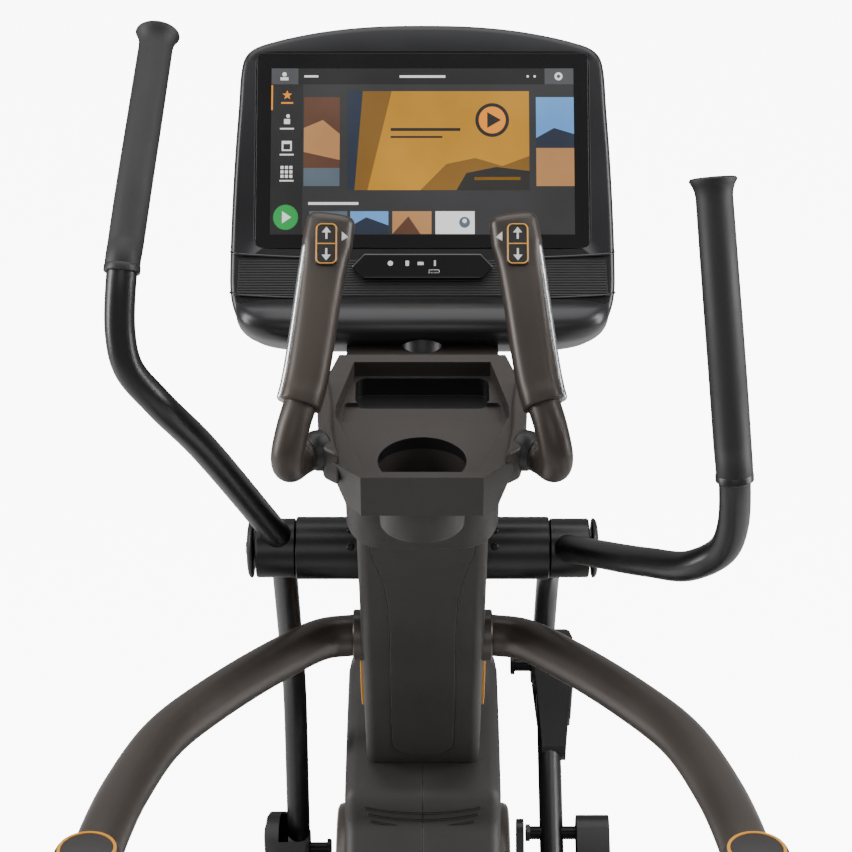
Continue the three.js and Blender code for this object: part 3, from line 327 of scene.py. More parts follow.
# A point of the side view turned about another by an angle in degrees.
def turnedAbout(point, centre, degrees):
    c, s = math.cos(math.radians(degrees)), math.sin(math.radians(degrees))
    y, z = point[0] - centre[0], point[1] - centre[1]
    return np.array([centre[0] + y * c - z * s, centre[1] + y * s + z * c])


# A point at a length from another, by an angle forward of straight down: the length times sine and cosine.
def headed(start, length, degrees):
    return np.array([start[0] + length * math.sin(math.radians(degrees)),
                     start[1] - length * math.cos(math.radians(degrees))])


# The linkage: length and angle of each link at mid swing, the pedal link's share of the arm's swing, the
# length of its level part, and how far its side pin is from its front pin.
linkSizes = {"upper": (334, 43.5), "lower": (248, 14.25), "pedal": (928, 24.57), "share": 0.34, "level": 215,
             "sidePin": 245}


# One side's linkage at rest: the arm's points turned about the hub axis, the others headed from each other.
def linkageOf(s):
    swing = s * restSwing
    elbowMid = headed((0, 0), *linkSizes["upper"])
    pinMid = headed(elbowMid, *linkSizes["lower"])
    elbow, pin = turnedAbout(elbowMid, (0, 0), swing), turnedAbout(pinMid, (0, 0), swing)
    tilt = linkSizes["share"] * swing
    span, slope = linkSizes["pedal"]
    end = headed(pin, span, slope + tilt - 90)
    knee = headed(end, linkSizes["level"], 90 + tilt)
    side = pin + (knee - pin) * linkSizes["sidePin"] / np.linalg.norm(knee - pin)
    return {"elbow": elbow, "pin": pin, "end": end, "knee": knee, "side": side, "tilt": tilt}


# Side-view points at one X.
def across(x, *points):
    return np.array([[x, p[0], p[1]] for p in points])


# The swinging arms. Each handle station is a radius from the hub axis, degrees behind upright at mid swing,
# and X. Each turned profile is X from the middle, and a radius.
handle = {"tube": 16, "grip": 18.6, "gripShare": 0.378, "flare": 5.5, "root": 30,
          "stations": [(60, 50, 178), (264, 51.2, 241), (355, 50.8, 279), (396, 48.2, 306),
                       (426, 44.9, 313), (479, 39.2, 309), (486, 36, 307), (510, 28.8, 302),
                       (555, 19.8, 294.5), (612, 12.3, 287)],
          "ring": [(0, 15.9), (0, 18.2), (1, 19.2), (7, 19.2), (8, 18.6), (8, 15.9)]}
lowerLink = {"x": 165, "tube": 15, "bend": 60,
             "sleeve": [(149.5, 14.6), (149.5, 33), (150.5, 35), (194, 35), (195.5, 33.5), (195.5, 14.6)],
             "boss": [(150, 9.5), (150, 24.5), (151.5, 26), (178.5, 26), (180, 24.5), (180, 9.5)],
             "pin": [(121.6, 0), (121.6, 12), (122.6, 13.6), (127, 13.6), (127.6, 13), (127.6, 9),
                     (196, 9), (196, 0)]}
hubCap = {"dome": [(198.8, 0), (198.8, 33), (199.6, 35), (201, 35.4), (203, 34.6), (205, 31), (206.2, 24),
                   (206.6, 14), (206.2, 12), (205, 11.4), (205, 0)],
          "bolt": [(205.2, 0), (205.2, 8), (207.4, 8), (208.4, 7), (208.4, 4), (206.5, 3.6), (206.5, 0)]}


# A direction of length one.
def unit(vector):
    return vector / np.linalg.norm(vector)


# The handle's path: its stations turned with the arm about the hub axis, joined smoothly.
def handlePath(s, count):
    stations = []
    for reach, lean, x in handle["stations"]:
        a = math.radians(lean)
        y, z = turnedAbout((-reach * math.sin(a), reach * math.cos(a)), (0, 0), s * restSwing)
        stations.append((s * x, y, z))
    return smoothPath(stations, count)


for s, side in sideNames.items():
    at = linkageOf(s)
    whole = handlePath(s, 161)
    root = whole[0] + unit(whole[0] - whole[1]) * np.linspace(handle["root"], 3, 6)[:, None]
    tubePiece(side + "HandleTube", side + "_handlebar", powderCoatBlack, np.concatenate([root, whole]),
              handle["tube"], (1, 0, 0), edges=(1, 1))
    lengths = np.concatenate([[0], np.cumsum(np.linalg.norm(np.diff(whole, axis=0), axis=1))])
    covered = whole[lengths >= lengths[-1] * (1 - handle["gripShare"])]
    tip = covered[-1] + unit(covered[-1] - covered[-2]) * np.array([[5.0]])
    gripPath = np.concatenate([covered, tip])
    reach = np.linspace(0, 1, len(gripPath))
    mouth = np.clip((reach - 0.955) / 0.045, 0, 1) ** 2
    swell = handle["grip"] + 0.5 * np.sin(np.pi * reach) + handle["flare"] * mouth
    tubePiece(side + "HandleGrip", side + "_handle_grip", foamRubberBlack, gripPath, swell, (1, 0, 0),
              edges=(3, 3), sides=48)
    along = gripPath[1] - gripPath[0]
    turnedPiece(side + "GripRing", side + "_handle_grip", texturedAbsBlack, gripPath[0] - unit(along) * 7,
                along, handle["ring"], stands=False)
    hub = np.array([lowerLink["x"] * s, 0.0, 0.0])
    elbow, pin = across(lowerLink["x"] * s, at["elbow"], at["pin"])
    before = elbow + unit(hub - elbow) * lowerLink["bend"]
    after = elbow + unit(pin - elbow) * lowerLink["bend"]
    way = np.linspace(0, 1, 9)[:, None]
    bend = before * (1 - way) ** 2 + 2 * elbow * way * (1 - way) + after * way ** 2
    linkPath = np.concatenate([hub + (before - hub) * np.linspace(0.06, 0.9, 8)[:, None], bend,
                               after + (pin - after) * np.linspace(0.1, 0.96, 8)[:, None]])
    tubePiece(side + "LowerLinkTube", side + "_lower_link", powderCoatBlack, linkPath, lowerLink["tube"],
              (1, 0, 0), edges=(1, 1))
    sideTurned(s, "HubSleeve", "lower_link", powderCoatBlack, (0, 0), lowerLink["sleeve"])
    sideTurned(s, "LinkBoss", "lower_link", powderCoatBlack, at["pin"], lowerLink["boss"])
    sideTurned(s, "HubCapDome", "hub_cap", texturedAbsBlack, (0, 0), hubCap["dome"], True)
    sideTurned(s, "HubCapBolt", "hub_cap", zincPlated, (0, 0), hubCap["bolt"])
    sideTurned(s, "LinkPinHead", "link_pin", blackOxideSteel, at["pin"], lowerLink["pin"], True)
print("arms made")

# The pedal linkages: bent link, outer tube, cross end, side pin, pedal, covers, swing link and coupler.
pedalLink = {"x": 173, "tube": 16, "start": 46, "outerTube": 13, "outerX": (225, 235, 243),
             "crossEnd": [(161, 0), (161, 13.5), (162.5, 15), (256.5, 15), (258, 13.5), (258, 0)],
             "sidePin": [(144, 0), (144, 9), (224, 9), (224, 0)],
             "sideNut": [(138, 0), (138, 11.5), (139, 13), (144, 13), (144, 0)]}
tread = {"x": 192, "rear": -194, "front": 154, "pitch": 24, "ribs": 15, "half": 54, "endHalf": 42,
         "narrowFrom": 150, "ribHalf": 4, "low": 36.4, "high": 39.6}
linkCover = {"middle": 176, "outside": 208, "ridge": 33, "ridgeEnd": 84, "ridgeTube": 2.4,
             "screw": [(207, 0), (207, 6.5), (209.6, 6.5), (210.4, 5.6), (210.4, 0)]}


# How wide the link cover stays, by the distance from its pin: it narrows to 0.6 at the tail, 0.7 at the nose.
def coverTaper(along):
    tail = np.clip((along - 10) / 108, 0, 1) ** 1.5
    nose = np.clip((-10 - along) / 40, 0, 1) ** 2
    return 1 - 0.4 * tail - 0.3 * nose


for s, side in sideNames.items():
    at = linkageOf(s)
    pin, knee, end, bolt = at["pin"], at["knee"], at["end"], at["side"]
    node = side + "_pedal_link"
    way = np.linspace(0, 1, 12)[:, None]
    main = across(pedalLink["x"] * s, pin + unit(knee - pin) * pedalLink["start"], knee, end)
    bentPath = np.concatenate([main[0] + (main[1] - main[0]) * way * 0.94,
                               smoothPath([main[0] + (main[1] - main[0]) * 0.95, main[1] + [0, -8, 2],
                                           main[1] + (main[2] - main[1]) * 0.12], 10),
                               main[1] + (main[2] - main[1]) * (0.14 + 0.86 * way)])
    tubePiece(side + "PedalLinkTube", node, powderCoatBlack, bentPath, pedalLink["tube"], (1, 0, 0),
              edges=(1, 1))
    outer = np.concatenate([across(x * s, p) for x, p in zip(pedalLink["outerX"], (bolt, knee, end))])
    outerPath = np.concatenate([outer[0] + (outer[1] - outer[0]) * way * 0.96,
                                outer[1] + (outer[2] - outer[1]) * (0.05 + 0.95 * way)])
    tubePiece(side + "OuterTube", node, powderCoatBlack, outerPath, pedalLink["outerTube"], (1, 0, 0),
              stands=False, edges=(1, 1))
    sideTurned(s, "CrossEnd", "pedal_link", powderCoatBlack, end, pedalLink["crossEnd"])
    sideTurned(s, "SidePin", "pedal_link", blackOxideSteel, bolt, pedalLink["sidePin"])
    sideTurned(s, "SideNut", "pedal_link", powderCoatBlack, bolt, pedalLink["sideNut"], sides=6)
    softened(side + "PedalShell", side + "_pedal", texturedAbsBlack, 1.6)
    footFrame = leaning((s * tread["x"], end[0], end[1]), at["tilt"])
    for i in range(tread["ribs"]):
        y = tread["rear"] + tread["pitch"] * i
        half = tread["half"] if abs(y) < tread["narrowFrom"] else tread["endHalf"]
        rib = roundedBox(-half, half, y - tread["ribHalf"], y + tread["ribHalf"], 3.4, 4)
        slabPiece(f"{side}TreadRib{i}", side + "_pedal", treadRubberBlack, rib, tread["low"], tread["high"],
                  footFrame, 0.8)
    cover = softened(side + "LinkCoverShell", side + "_link_cover", texturedAbsBlack, 2.6, segments=3)
    direction = unit(knee - pin)
    places = np.zeros(len(cover.data.vertices) * 3)
    cover.data.vertices.foreach_get("co", places)
    places = places.reshape(-1, 3)
    middle = s * linkCover["middle"] / 1000
    along = (places[:, 1:] * 1000 - hubAxis[1:] - pin) @ direction
    places[:, 0] = middle + (places[:, 0] - middle) * coverTaper(along)
    cover.data.vertices.foreach_set("co", places.ravel())
    aside = np.array([-direction[1], direction[0]])
    turn = np.linspace(-np.pi / 2, np.pi / 2, 15)
    bow = [pin - linkCover["ridge"] * (direction * math.cos(a) + aside * math.sin(a)) for a in turn]
    ridge = [pin + direction * linkCover["ridgeEnd"] + aside * 12, *bow,
             pin + direction * linkCover["ridgeEnd"] - aside * 12]
    depth = linkCover["outside"] - linkCover["middle"]
    ridgeX = [s * (linkCover["middle"] + depth * coverTaper((p - pin) @ direction)) for p in ridge]
    tubePiece(side + "CoverRidge", side + "_link_cover", texturedAbsBlack,
              smoothPath([(x, p[0], p[1]) for x, p in zip(ridgeX, ridge)], 60), linkCover["ridgeTube"],
              (1, 0, 0), stands=False)
    sideTurned(s, "CoverScrew", "link_cover", blackOxideSteel, pin, linkCover["screw"], sides=24)
    softened(side + "ArmCoverShell", side + "_pedal_arm_cover", texturedAbsBlack, 2.2, segments=3)
    softened(side + "SwingBar", side + "_swing_link", powderCoatBlack, 1.5)
    softened(side + "CouplerBar", side + "_coupler", powderCoatBlack, 1.2)
    softened(side + "CrankBar", side + "_crank_arm", powderCoatBlack, 1.5)
print("pedal linkages made")

# The base, the mast with its hub tube and bolts, the transport wheels, and the drive's inner parts.
wheelTyre = [(204, 5.5), (204, 18), (205, 20), (204, 27), (206, 30), (226, 30), (228, 27), (227, 20),
             (228, 18), (228, 5.5)]
mastSizes = {"tube": (-38, 38, -28, 28, 6, 4), "low": -590, "high": 222,
             "hubTube": [(-198, 0), (-198, 14), (-148.5, 14), (-148.5, 35.5), (-147.5, 37), (147.5, 37),
                         (148.5, 35.5), (148.5, 14), (198, 14), (198, 0)],
             "hubRadius": 37, "boltX": 84, "boltTurns": (30, 62),
             "bolt": [(-2, 0), (-2, 4.6), (1.6, 4.6), (2.6, 3.4), (2.8, 0)]}
softened("baseFrameWelded", "base_frame", powderCoatBlack, 2.0)
for s, side in sideNames.items():
    wheel = (jointPlace[side + "_wheel_spin"] - hubAxis)[1:]
    sideTurned(s, "WheelTyre", "transport_wheel", treadRubberBlack, wheel, wheelTyre, True)
turnedPiece("hubCrossTube", "mast", powderCoatBlack, (0, 0, 0), (1, 0, 0), mastSizes["hubTube"], sides=64)
slabPiece("mastTube", "mast", powderCoatBlack, roundedBox(*mastSizes["tube"]), mastSizes["low"],
          mastSizes["high"], columnFrame, 1)
for s, side in sideNames.items():
    for turn in mastSizes["boltTurns"]:
        a = math.radians(turn)
        radius = mastSizes["hubRadius"]
        spot = np.array([s * mastSizes["boltX"], -radius * math.cos(a), radius * math.sin(a)])
        turnedPiece(f"hubBolt{side.capitalize()}{turn}", "mast", blackOxideSteel, spot, spot * [0, 1, 1],
                    mastSizes["bolt"], stands=False, sides=20)
innerFinishes = {"crank_axle": brushedSteel, "drive_pulley": texturedAbsBlack, "flywheel": castIronGrey,
                 "brake_arm": castIronGrey, "drive_belt": foamRubberBlack, "left_crank_bearing": brushedSteel,
                 "right_crank_bearing": brushedSteel, "control_board": solderMaskGreen}
for node, material in innerFinishes.items():
    frame["nodes"][node].data.materials.clear()
    frame["nodes"][node].data.materials.append(material)
print("base and drive made")

# The column cover: a leaning box with a panel line on its rear face, a lip below and amber stripes. Each
# ring is a place along the column and how far the outline is drawn in there.
column = {"half": 73, "rear": -92.5, "front": 57.5, "corner": 13,
          "rings": [(-470, 3), (-468, 0.8), (-466, 0), (-300, 0), (0, 0), (209, 0), (212, 2)],
          "lipRings": [(-474, 4), (-472.5, 1), (-470, 0), (-458, 0), (-456, 0.6), (-455, 3)],
          "panel": [(-58, 196), (-57, 150), (-47, 96), (-40, 30), (-39, -160), (-39, -300), (-36, -352),
                    (-22, -368), (0, -371), (22, -368), (36, -352), (39, -300), (39, -160), (40, 30),
                    (47, 96), (57, 150), (58, 196)],
          "stripe": [(-52, -175), (-58, -215), (-60, -260), (-56, -300)], "stripeHalf": 5}


# Rings of a rounded box up the column: each is the outline drawn in by its own amount, at its own height.
def columnRings(half, rear, front, corner, stations):
    rings = [np.column_stack([roundedBox(-half + t, half - t, rear + t, front - t, max(corner - t, 2), 12),
                              np.full(48, w)]) for w, t in stations]
    return np.array(rings)


# A smooth flat curve through pairs.
def smoothFlat(pairs, count):
    return smoothPath(np.column_stack([pairs, np.zeros(len(pairs))]), count)[:, :2]


coverRings = columnRings(column["half"], column["rear"], column["front"], column["corner"], column["rings"])
makePiece("columnCover", "column_cover_rear", texturedAbsGrey, *skin(placed(coverRings, columnFrame)),
          sharp=50)
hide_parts("column_cover_front")
panel = smoothFlat(column["panel"], 120)
panelFrame = (columnFrame[0] + columnFrame[1][1] * column["rear"],
              np.array([[1, 0, 0], columnFrame[1][2], -columnFrame[1][1]]))
slabPiece("columnPanel", "column_cover_rear", texturedAbsGrey, panel, -1, 1.2, panelFrame, 1.0)
seam = np.column_stack([panel * [1.02, 1.004], np.full(len(panel), 0.1)])
tubePiece("columnPanelSeam", "column_cover_rear", texturedAbsBlack, seam, 0.55, (0, 0, 1), stands=False,
          where=panelFrame, sides=8, edges=(0.2, 0.2))
lipRings = columnRings(column["half"] + 1.4, column["rear"] - 1.5, column["front"] + 1.5,
                       column["corner"] + 1, column["lipRings"])
makePiece("columnLip", "column_cover_rear", satinAbsBronze, *skin(placed(lipRings, columnFrame)), sharp=50,
          stands=False)
for s, side in sideNames.items():
    stripe = smoothFlat(column["stripe"], 30)
    stripeFrame = (np.array([s * column["half"], 0.0, 0.0]),
                   np.array([columnFrame[1][1], columnFrame[1][2], [s, 0, 0]]))
    width = column["stripeHalf"] * np.sin(np.linspace(0.25, np.pi - 0.25, 30))
    width = np.column_stack([width, np.zeros(30)])
    outline = np.concatenate([stripe + width, (stripe - width)[::-1]])
    slabPiece(side + "AmberStripe", "column_cover_rear", amberPaint, outline, -0.5, 4.2, stripeFrame, 1.2)
print("column made")

# The drive housing: a side profile (Y and rise) rounded over towards each side. Its rings are X and how far
# the profile is drawn in there. The side covers are turned, and three louvres sit under the column.
housing = {"front": [(712, -1010), (724, -865), (690, -705), (600, -545), (470, -415), (330, -348)],
           "ledge": [(318, -347), (200, -368), (106, -396), (90, -404), (83.5, -418), (82.3, -438)],
           "rear": [(82, -445), (10, -525), (-150, -625), (-226, -715), (-240, -805), (-232, -915),
                    (-212, -1010)],
           "rings": [(0.3, 1.2), (0.6, 0.3), (1.5, 0), (40, 0)], "side": 85, "round": 15.8,
           "sideCover": [(101.3, 0), (101.3, 121), (102.5, 122.4), (105, 123), (113, 123), (118, 120.5),
                         (120.3, 116), (120.3, 92), (119, 89), (117, 86), (117.3, 40), (118.3, 0)],
           "louvres": (-421, -431, -441), "louvreHalf": 74}
housingOutline = np.concatenate([smoothFlat(housing["front"], 46), smoothFlat(housing["ledge"], 24),
                                 smoothFlat(housing["rear"], 56)])


# The outline drawn inwards: each point moves along its inward normal, from its neighbours' chord.
def drawnIn(outline, distance):
    chord = np.roll(outline, -1, 0) - np.roll(outline, 1, 0)
    normal = np.column_stack([-chord[:, 1], chord[:, 0]]) / np.linalg.norm(chord, axis=1)[:, None]
    return outline + normal * distance


for s, side in sideNames.items():
    rounding = [(housing["side"] + housing["round"] * math.sin(a), housing["round"] * (1 - math.cos(a)))
                for a in np.linspace(0, np.pi / 2, 9)]
    rings = np.array([np.column_stack([np.full(len(housingOutline), s * x), drawnIn(housingOutline, t)])
                      for x, t in housing["rings"] + rounding])
    makePiece(side + "HousingShell", "drive_housing_" + side, texturedAbsGrey, *skin(placed(rings)), sharp=60)
    axle = (jointPlace["flywheel_spin"] - hubAxis)[1:]
    sideTurned(s, "SideCoverDisc", "side_cover", powderCoatBronze, axle, housing["sideCover"], True, 72)
for i, rise in enumerate(housing["louvres"]):
    half = housing["louvreHalf"] - 4 * i
    x = np.linspace(-half, half, 40)
    louvre = np.column_stack([x, np.full(40, 82.4 - 0.2 * i), rise - 8 * (1 - (x / half) ** 2)])
    tubePiece(f"louvre{i}", "drive_housing_right", texturedAbsBlack, louvre, 1.5, (0, 1, 0), stands=False,
              sides=8)
print("drive housing made")

# The rails, and the rear posts with their pivots for the swing links and their caps.
rail = {"tube": 25, "start": (12, -125),
        "stations": [(82, 12, -125), (118, 0, -123), (168, -66, -113), (238, -198, -90), (280, -300, -74),
                     (305, -430, -55), (314, -530, -39), (319, -600, -35)],
        "flange": [(67, 0), (67, 31), (82, 31), (83.6, 29.6), (83.8, 24)]}
post = {"tube": 30, "x": 320, "y": -610, "top": -15,
        "stations": [(320, -610, -15), (320, -610, -105), (320, -616, -305), (326, -650, -675),
                     (330, -690, -1023)],
        "pivot": (-560, -93), "earRadius": 26, "earX": (287, 312),
        "pin": [(255, 0), (255, 13), (256, 15), (262, 15), (262, 9), (290, 9), (290, 0)],
        "cap": [(0.3, 0), (0.3, 31), (1.5, 32), (8, 32), (11.5, 30), (13, 26.5), (13.3, 0)],
        "ring": [(13.0, 25.4), (13.7, 25.6), (13.7, 28.2), (12.6, 28.6), (12.2, 27)]}
for s, side in sideNames.items():
    tubePiece(side + "RailTube", side + "_rail", powderCoatBronze,
              smoothPath(np.array(rail["stations"]) * [s, 1, 1], 140), rail["tube"], (0, 0, 1),
              edges=(1, 1), sides=48)
    sideTurned(s, "RailFlange", "rail", powderCoatBronze, rail["start"], rail["flange"])
    tubePiece(side + "PostTube", side + "_rear_post", powderCoatBronze,
              smoothPath(np.array(post["stations"]) * [s, 1, 1], 90), post["tube"], (1, 0, 0),
              edges=(1, 1), sides=48)
    y, z = post["pivot"]
    bow = [(y + post["earRadius"] * math.cos(a), z + post["earRadius"] * math.sin(a))
           for a in np.linspace(-np.pi / 2, np.pi / 2, 14)]
    earFrame = (np.zeros(3), np.array([[0, 1, 0], [0, 0, 1], [s, 0, 0]]))
    slabPiece(side + "PivotEar", side + "_rear_post", powderCoatBronze, [(-612, -136), *bow, (-612, -72)],
              *post["earX"], earFrame, 2)
    sideTurned(s, "SwingPin", "rear_post", blackOxideSteel, post["pivot"], post["pin"])
    top = (s * post["x"], post["y"], post["top"])
    turnedPiece(side + "PostCapTop", side + "_post_cap", texturedAbsGrey, top, (0, 0, 1), post["cap"])
    turnedPiece(side + "PostCapRing", side + "_post_cap", amberPaint, top, (0, 0, 1), post["ring"],
                stands=False)
print("rails and posts made")

# The tray: a dish with a raised rim, a shelf, a deep pocket and a cup well, on the column's collar. Its
# sizes are in the tray's own frame, whose origin is the middle of the cup hole.
tray = {"half": [(62, -60), (99, -22), (107, 32), (112, 100), (88, 200), (88, 240)], "thick": 58, "rim": 18,
        "foot": 72, "deck": 188, "recess": [(57, -49), (91, 60), (91, 80), (74, 172)],
        "shelf": (-84, 84, 74, 116, 5), "shelfDeep": 5, "pocket": (-72, 72, 112, 168, 12), "pocketDeep": 22,
        "chin": [(-120, -27), (-64, -27), (-50, -31), (25, -58.5), (25, -90), (-120, -90)],
        "shoulder": [(84, -36), (101, -21), (108, 32), (112, 100), (100, 128), (94, 70), (92, 20)],
        "shoulderLow": -10, "shoulderHigh": 30}
cup = {"middle": (0, -287, 253), "hole": [(-72, 0.1), (-72, 42), (-10, 45.5), (10, 46)],
       "well": [(-74.5, 0), (-74.5, 39), (-73.5, 42), (-71, 43.8), (-40, 46), (-8, 47.6), (-8, 45.4),
                (-70, 42.2), (-70.5, 40), (-70.5, 0)]}
collar = [(176, 3), (177, 0.8), (179, 0), (214, 0), (228, 3), (236, 8)]
neck = {"foot": (0, -66, 217), "way": (0, 38, 89),
        "profile": [(0, 0), (0, 25), (34, 25), (36, 26.5), (44, 26.5), (46, 25), (96, 25), (96, 0)]}


# A symmetric outline from its right half: the half, then its mirror in reverse.
def mirroredOutline(half):
    right = np.array(half, float)
    return np.concatenate([right, (right * [-1, 1])[::-1]])


# Cuts closed forms out of a piece, one at a time, and gives it rounded edges afterwards.
def carved(piece, tools, bevel, sharp):
    for points, faces in tools:
        mesh = bpy.data.meshes.new("tool")
        mesh.from_pydata(np.asarray(points).tolist(), [], [list(f) for f in faces])
        form = bmesh.new()
        form.from_mesh(mesh)
        bmesh.ops.recalc_face_normals(form, faces=form.faces)
        form.to_mesh(mesh)
        form.free()
        tool = bpy.data.objects.new("tool", mesh)
        bpy.context.scene.collection.objects.link(tool)
        cut = piece.modifiers.new("cut", "BOOLEAN")
        cut.operation, cut.solver, cut.object = "DIFFERENCE", "EXACT", tool
        bpy.context.view_layer.update()
        made = bpy.data.meshes.new_from_object(piece.evaluated_get(bpy.context.evaluated_depsgraph_get()))
        piece.modifiers.remove(cut)
        piece.data = made
        bpy.data.objects.remove(tool)
    piece.data.shade_smooth()
    piece.data.set_sharp_from_angle(angle=math.radians(sharp))
    roundedEdges(piece, bevel, sharp, 3)


# A slab in a frame, as a form to cut with.
def slabTool(outline, low, high, where=trayFrame):
    points, faces = slab(outline, low, high)
    return placed(points, where), faces


trayPoints, trayFaces = slab(mirroredOutline(tray["half"]), -tray["thick"], tray["rim"])
narrowed = np.clip(trayPoints[:, 0], -tray["foot"], tray["foot"])
trayPoints[:, 0] = np.where(trayPoints[:, 2] < 0, narrowed, trayPoints[:, 0])
trayBody = makePiece("trayBody", "accessory_tray", texturedAbsBronze, placed(trayPoints, trayFrame),
                     trayFaces, sharp=20)
chinFrame = (trayFrame[0], np.array([trayFrame[1][1], trayFrame[1][2], [1, 0, 0]]))
carved(trayBody, [slabTool(tray["chin"], -150, 150, chinFrame),
                  slabTool(roundedBox(-150, 150, tray["deck"], 290, 2, 3), 0, 40),
                  slabTool(mirroredOutline(tray["recess"]), 0, 40),
                  slabTool(roundedBox(*tray["shelf"]), -tray["shelfDeep"], 10),
                  slabTool(roundedBox(*tray["pocket"]), -tray["pocketDeep"], 10),
                  skin(placed(turnedRings(cup["middle"], (0, 0, 1), cup["hole"], 64)))], 2.4, 24)
trayBody.data.materials.append(texturedAbsBlack)  # lines the pocket and the cup hole
centres = np.zeros(len(trayBody.data.polygons) * 3)
trayBody.data.polygons.foreach_get("center", centres)
local = (centres.reshape(-1, 3) * 1000 - hubAxis - trayFrame[0]) @ trayFrame[1].T
margin = 0.5
pocketHalf, pocketRear, pocketFront = tray["pocket"][1:4]
sunk = local[:, 2] < -margin
inPocket = ((abs(local[:, 0]) < pocketHalf + margin) & (local[:, 1] > pocketRear - margin)
            & (local[:, 1] < pocketFront + margin) & sunk & (local[:, 2] > -30))
inCup = (np.hypot(local[:, 0], local[:, 1] + local[:, 2] * 0.11) < 47) & sunk & (local[:, 2] > -80)
trayBody.data.polygons.foreach_set("material_index", (inPocket | inCup).astype(int))
for s, side in sideNames.items():
    slabPiece(side + "TrayShoulder", "accessory_tray", texturedAbsBronze, np.array(tray["shoulder"]) * [s, 1],
              tray["shoulderLow"], tray["shoulderHigh"], trayFrame, 5, segments=4)
turnedPiece("cupWell", "accessory_tray", texturedAbsBronze, cup["middle"], (0, 0, 1), cup["well"],
            stands=False, sides=64)
collarRings = columnRings(column["half"] + 11, column["rear"] - 11, column["front"] + 11, 40, collar)
makePiece("trayCollar", "accessory_tray", texturedAbsGrey, *skin(placed(collarRings, columnFrame)), sharp=50,
          stands=False)
turnedPiece("consoleNeck", "console_neck", texturedAbsBlack, neck["foot"], neck["way"], neck["profile"])
print("tray made")

# The console, in the screen's frame: a shell round the glass, speaker band, grooves, lip, back and port pod.
# Its rim is the right half; each shell ring is how far the rim is drawn in, and a height.
console = {"rim": [(0, 151), (60, 149.5), (118, 143), (170, 131.5), (193, 123), (203, 113), (207, 98),
                   (210, 50), (213, 0), (215.5, -60), (217, -130), (216.5, -160), (213, -180), (203, -202),
                   (184, -217), (150, -225), (70, -227)],
           "rings": [(22, -38), (8, -38), (3, -35.5), (0.6, -31), (0, -26), (0, -23.5), (1.6, -22.5),
                     (1.6, -20.5), (0, -19.5), (0, -9), (0.8, -5), (2.6, -2), (5, -0.5), (8, 0)],
           "seat": [(190.4, -114.8, 117.8, 0), (189.2, -113.7, 116.7, -1.2), (189.2, -113.7, 116.7, -6.2)],
           "glass": (-188.5, 188.5, -113, 116, 6),
           "band": [(-206, -126), (206, -126), (208.5, -169), (-208.5, -169)],
           "grooves": [("Upper", -121, -130), ("Lower", -168, -176)],
           "lip": [(-172, -8), (-173, 4), (-180, 20), (-190, 32), (-201, 38), (-212, 39), (-221, 34),
                   (-226, 22), (-228, 0), (-227, -22), (-218, -36), (-190, -36), (-176, -24)],
           "lipHalf": 209, "lipMiddle": (-176, -8)}
pod = {"face": [(-80, -136), (-66, -151), (66, -151), (80, -136), (66, -121), (-66, -121)],
       "socket": (7, 19, -144.5, -140, 0.8, 3), "slot": (8, 18, -143.3, -141.2, 0.4, 3),
       "marks": (-36, -18, -2, 14)}


# A rounded rectangle read at given angles: a superellipse of power 26, by the angle's cosine and sine.
def squareAt(angle, halfWide, low, high):
    c, s = np.cos(angle), np.sin(angle)
    reach = (np.abs(c) ** 26 + np.abs(s) ** 26) ** (-1 / 26)
    return np.column_stack([halfWide * c * reach, (low + high) / 2 + (high - low) / 2 * s * reach])


# A smooth closed curve: the loop overlaps itself by a few points, and the overlap is cut off again.
def smoothLoop(loop, before, after, steps, first, last):
    overlapped = np.concatenate([loop[-before:], loop, loop[:after]])
    return smoothFlat(overlapped, steps * (len(overlapped) - 1) + 1)[first:last]


rightHalf = np.array(console["rim"], float)
rimLoop = np.concatenate([rightHalf, rightHalf[:0:-1] * [-1, 1]])
rimCurve = smoothLoop(rimLoop, 3, 4, 12, 36, -37)
shifted = np.roll(rimCurve, -1, 0)
order = 1 if np.sum(rimCurve[:, 0] * shifted[:, 1] - rimCurve[:, 1] * shifted[:, 0]) > 0 else -1
rimCurve = rimCurve[::order]  # counter-clockwise
angles = np.arctan2(rimCurve[:, 1] / 115, rimCurve[:, 0] / 190)
rings = [np.column_stack([drawnIn(rimCurve, t), np.full(len(rimCurve), h)]) for t, h in console["rings"]]
rings += [np.column_stack([squareAt(angles, half, low, high), np.full(len(angles), h)])
          for half, low, high, h in console["seat"]]
makePiece("consoleShell", "console_housing", satinAbsGunmetal, *skin(placed(np.array(rings), screenFrame)),
          sharp=42)
slabPiece("screenGlass", "display_screen", polishedAbsBlack, roundedBox(*console["glass"]), -5, 0,
          screenFrame, 0.5, True)
slabPiece("speakerBand", "console_housing", speakerMeshBlack, console["band"], -3, 0.9, screenFrame, 0.8)
for s, side in sideNames.items():
    for name, low, high in console["grooves"]:
        path = smoothPath([(s * 216, low + 5, -7), (s * 211, low + 1, 0.6), (s * 170, low - 2, 0.9),
                           (s * 98, high + 3, 1.0), (s * 88, high, 1.0)], 40)
        tubePiece(f"{side}{name}Groove", "console_housing", polishedAbsBlack, path, 1.5, (0, 0, 1),
                  stands=False, where=screenFrame, sides=10)
lipCurve = smoothLoop(np.array(console["lip"], float), 2, 3, 6, 12, -13)
x = console["lipHalf"] * np.sin(np.linspace(-np.pi / 2, np.pi / 2, 61))
shrink = 0.25 + 0.75 * (1 - np.abs(x / console["lipHalf"]) ** 7) ** 0.5
lipMiddle = np.array(console["lipMiddle"], float)
lipRings = np.concatenate([np.broadcast_to(x[:, None, None], (61, len(lipCurve), 1)),
                           lipMiddle + (lipCurve - lipMiddle)[None] * shrink[:, None, None]], -1)
makePiece("consoleLip", "console_housing", satinAbsGunmetal, *skin(placed(lipRings, screenFrame)), sharp=60,
          stands=False)
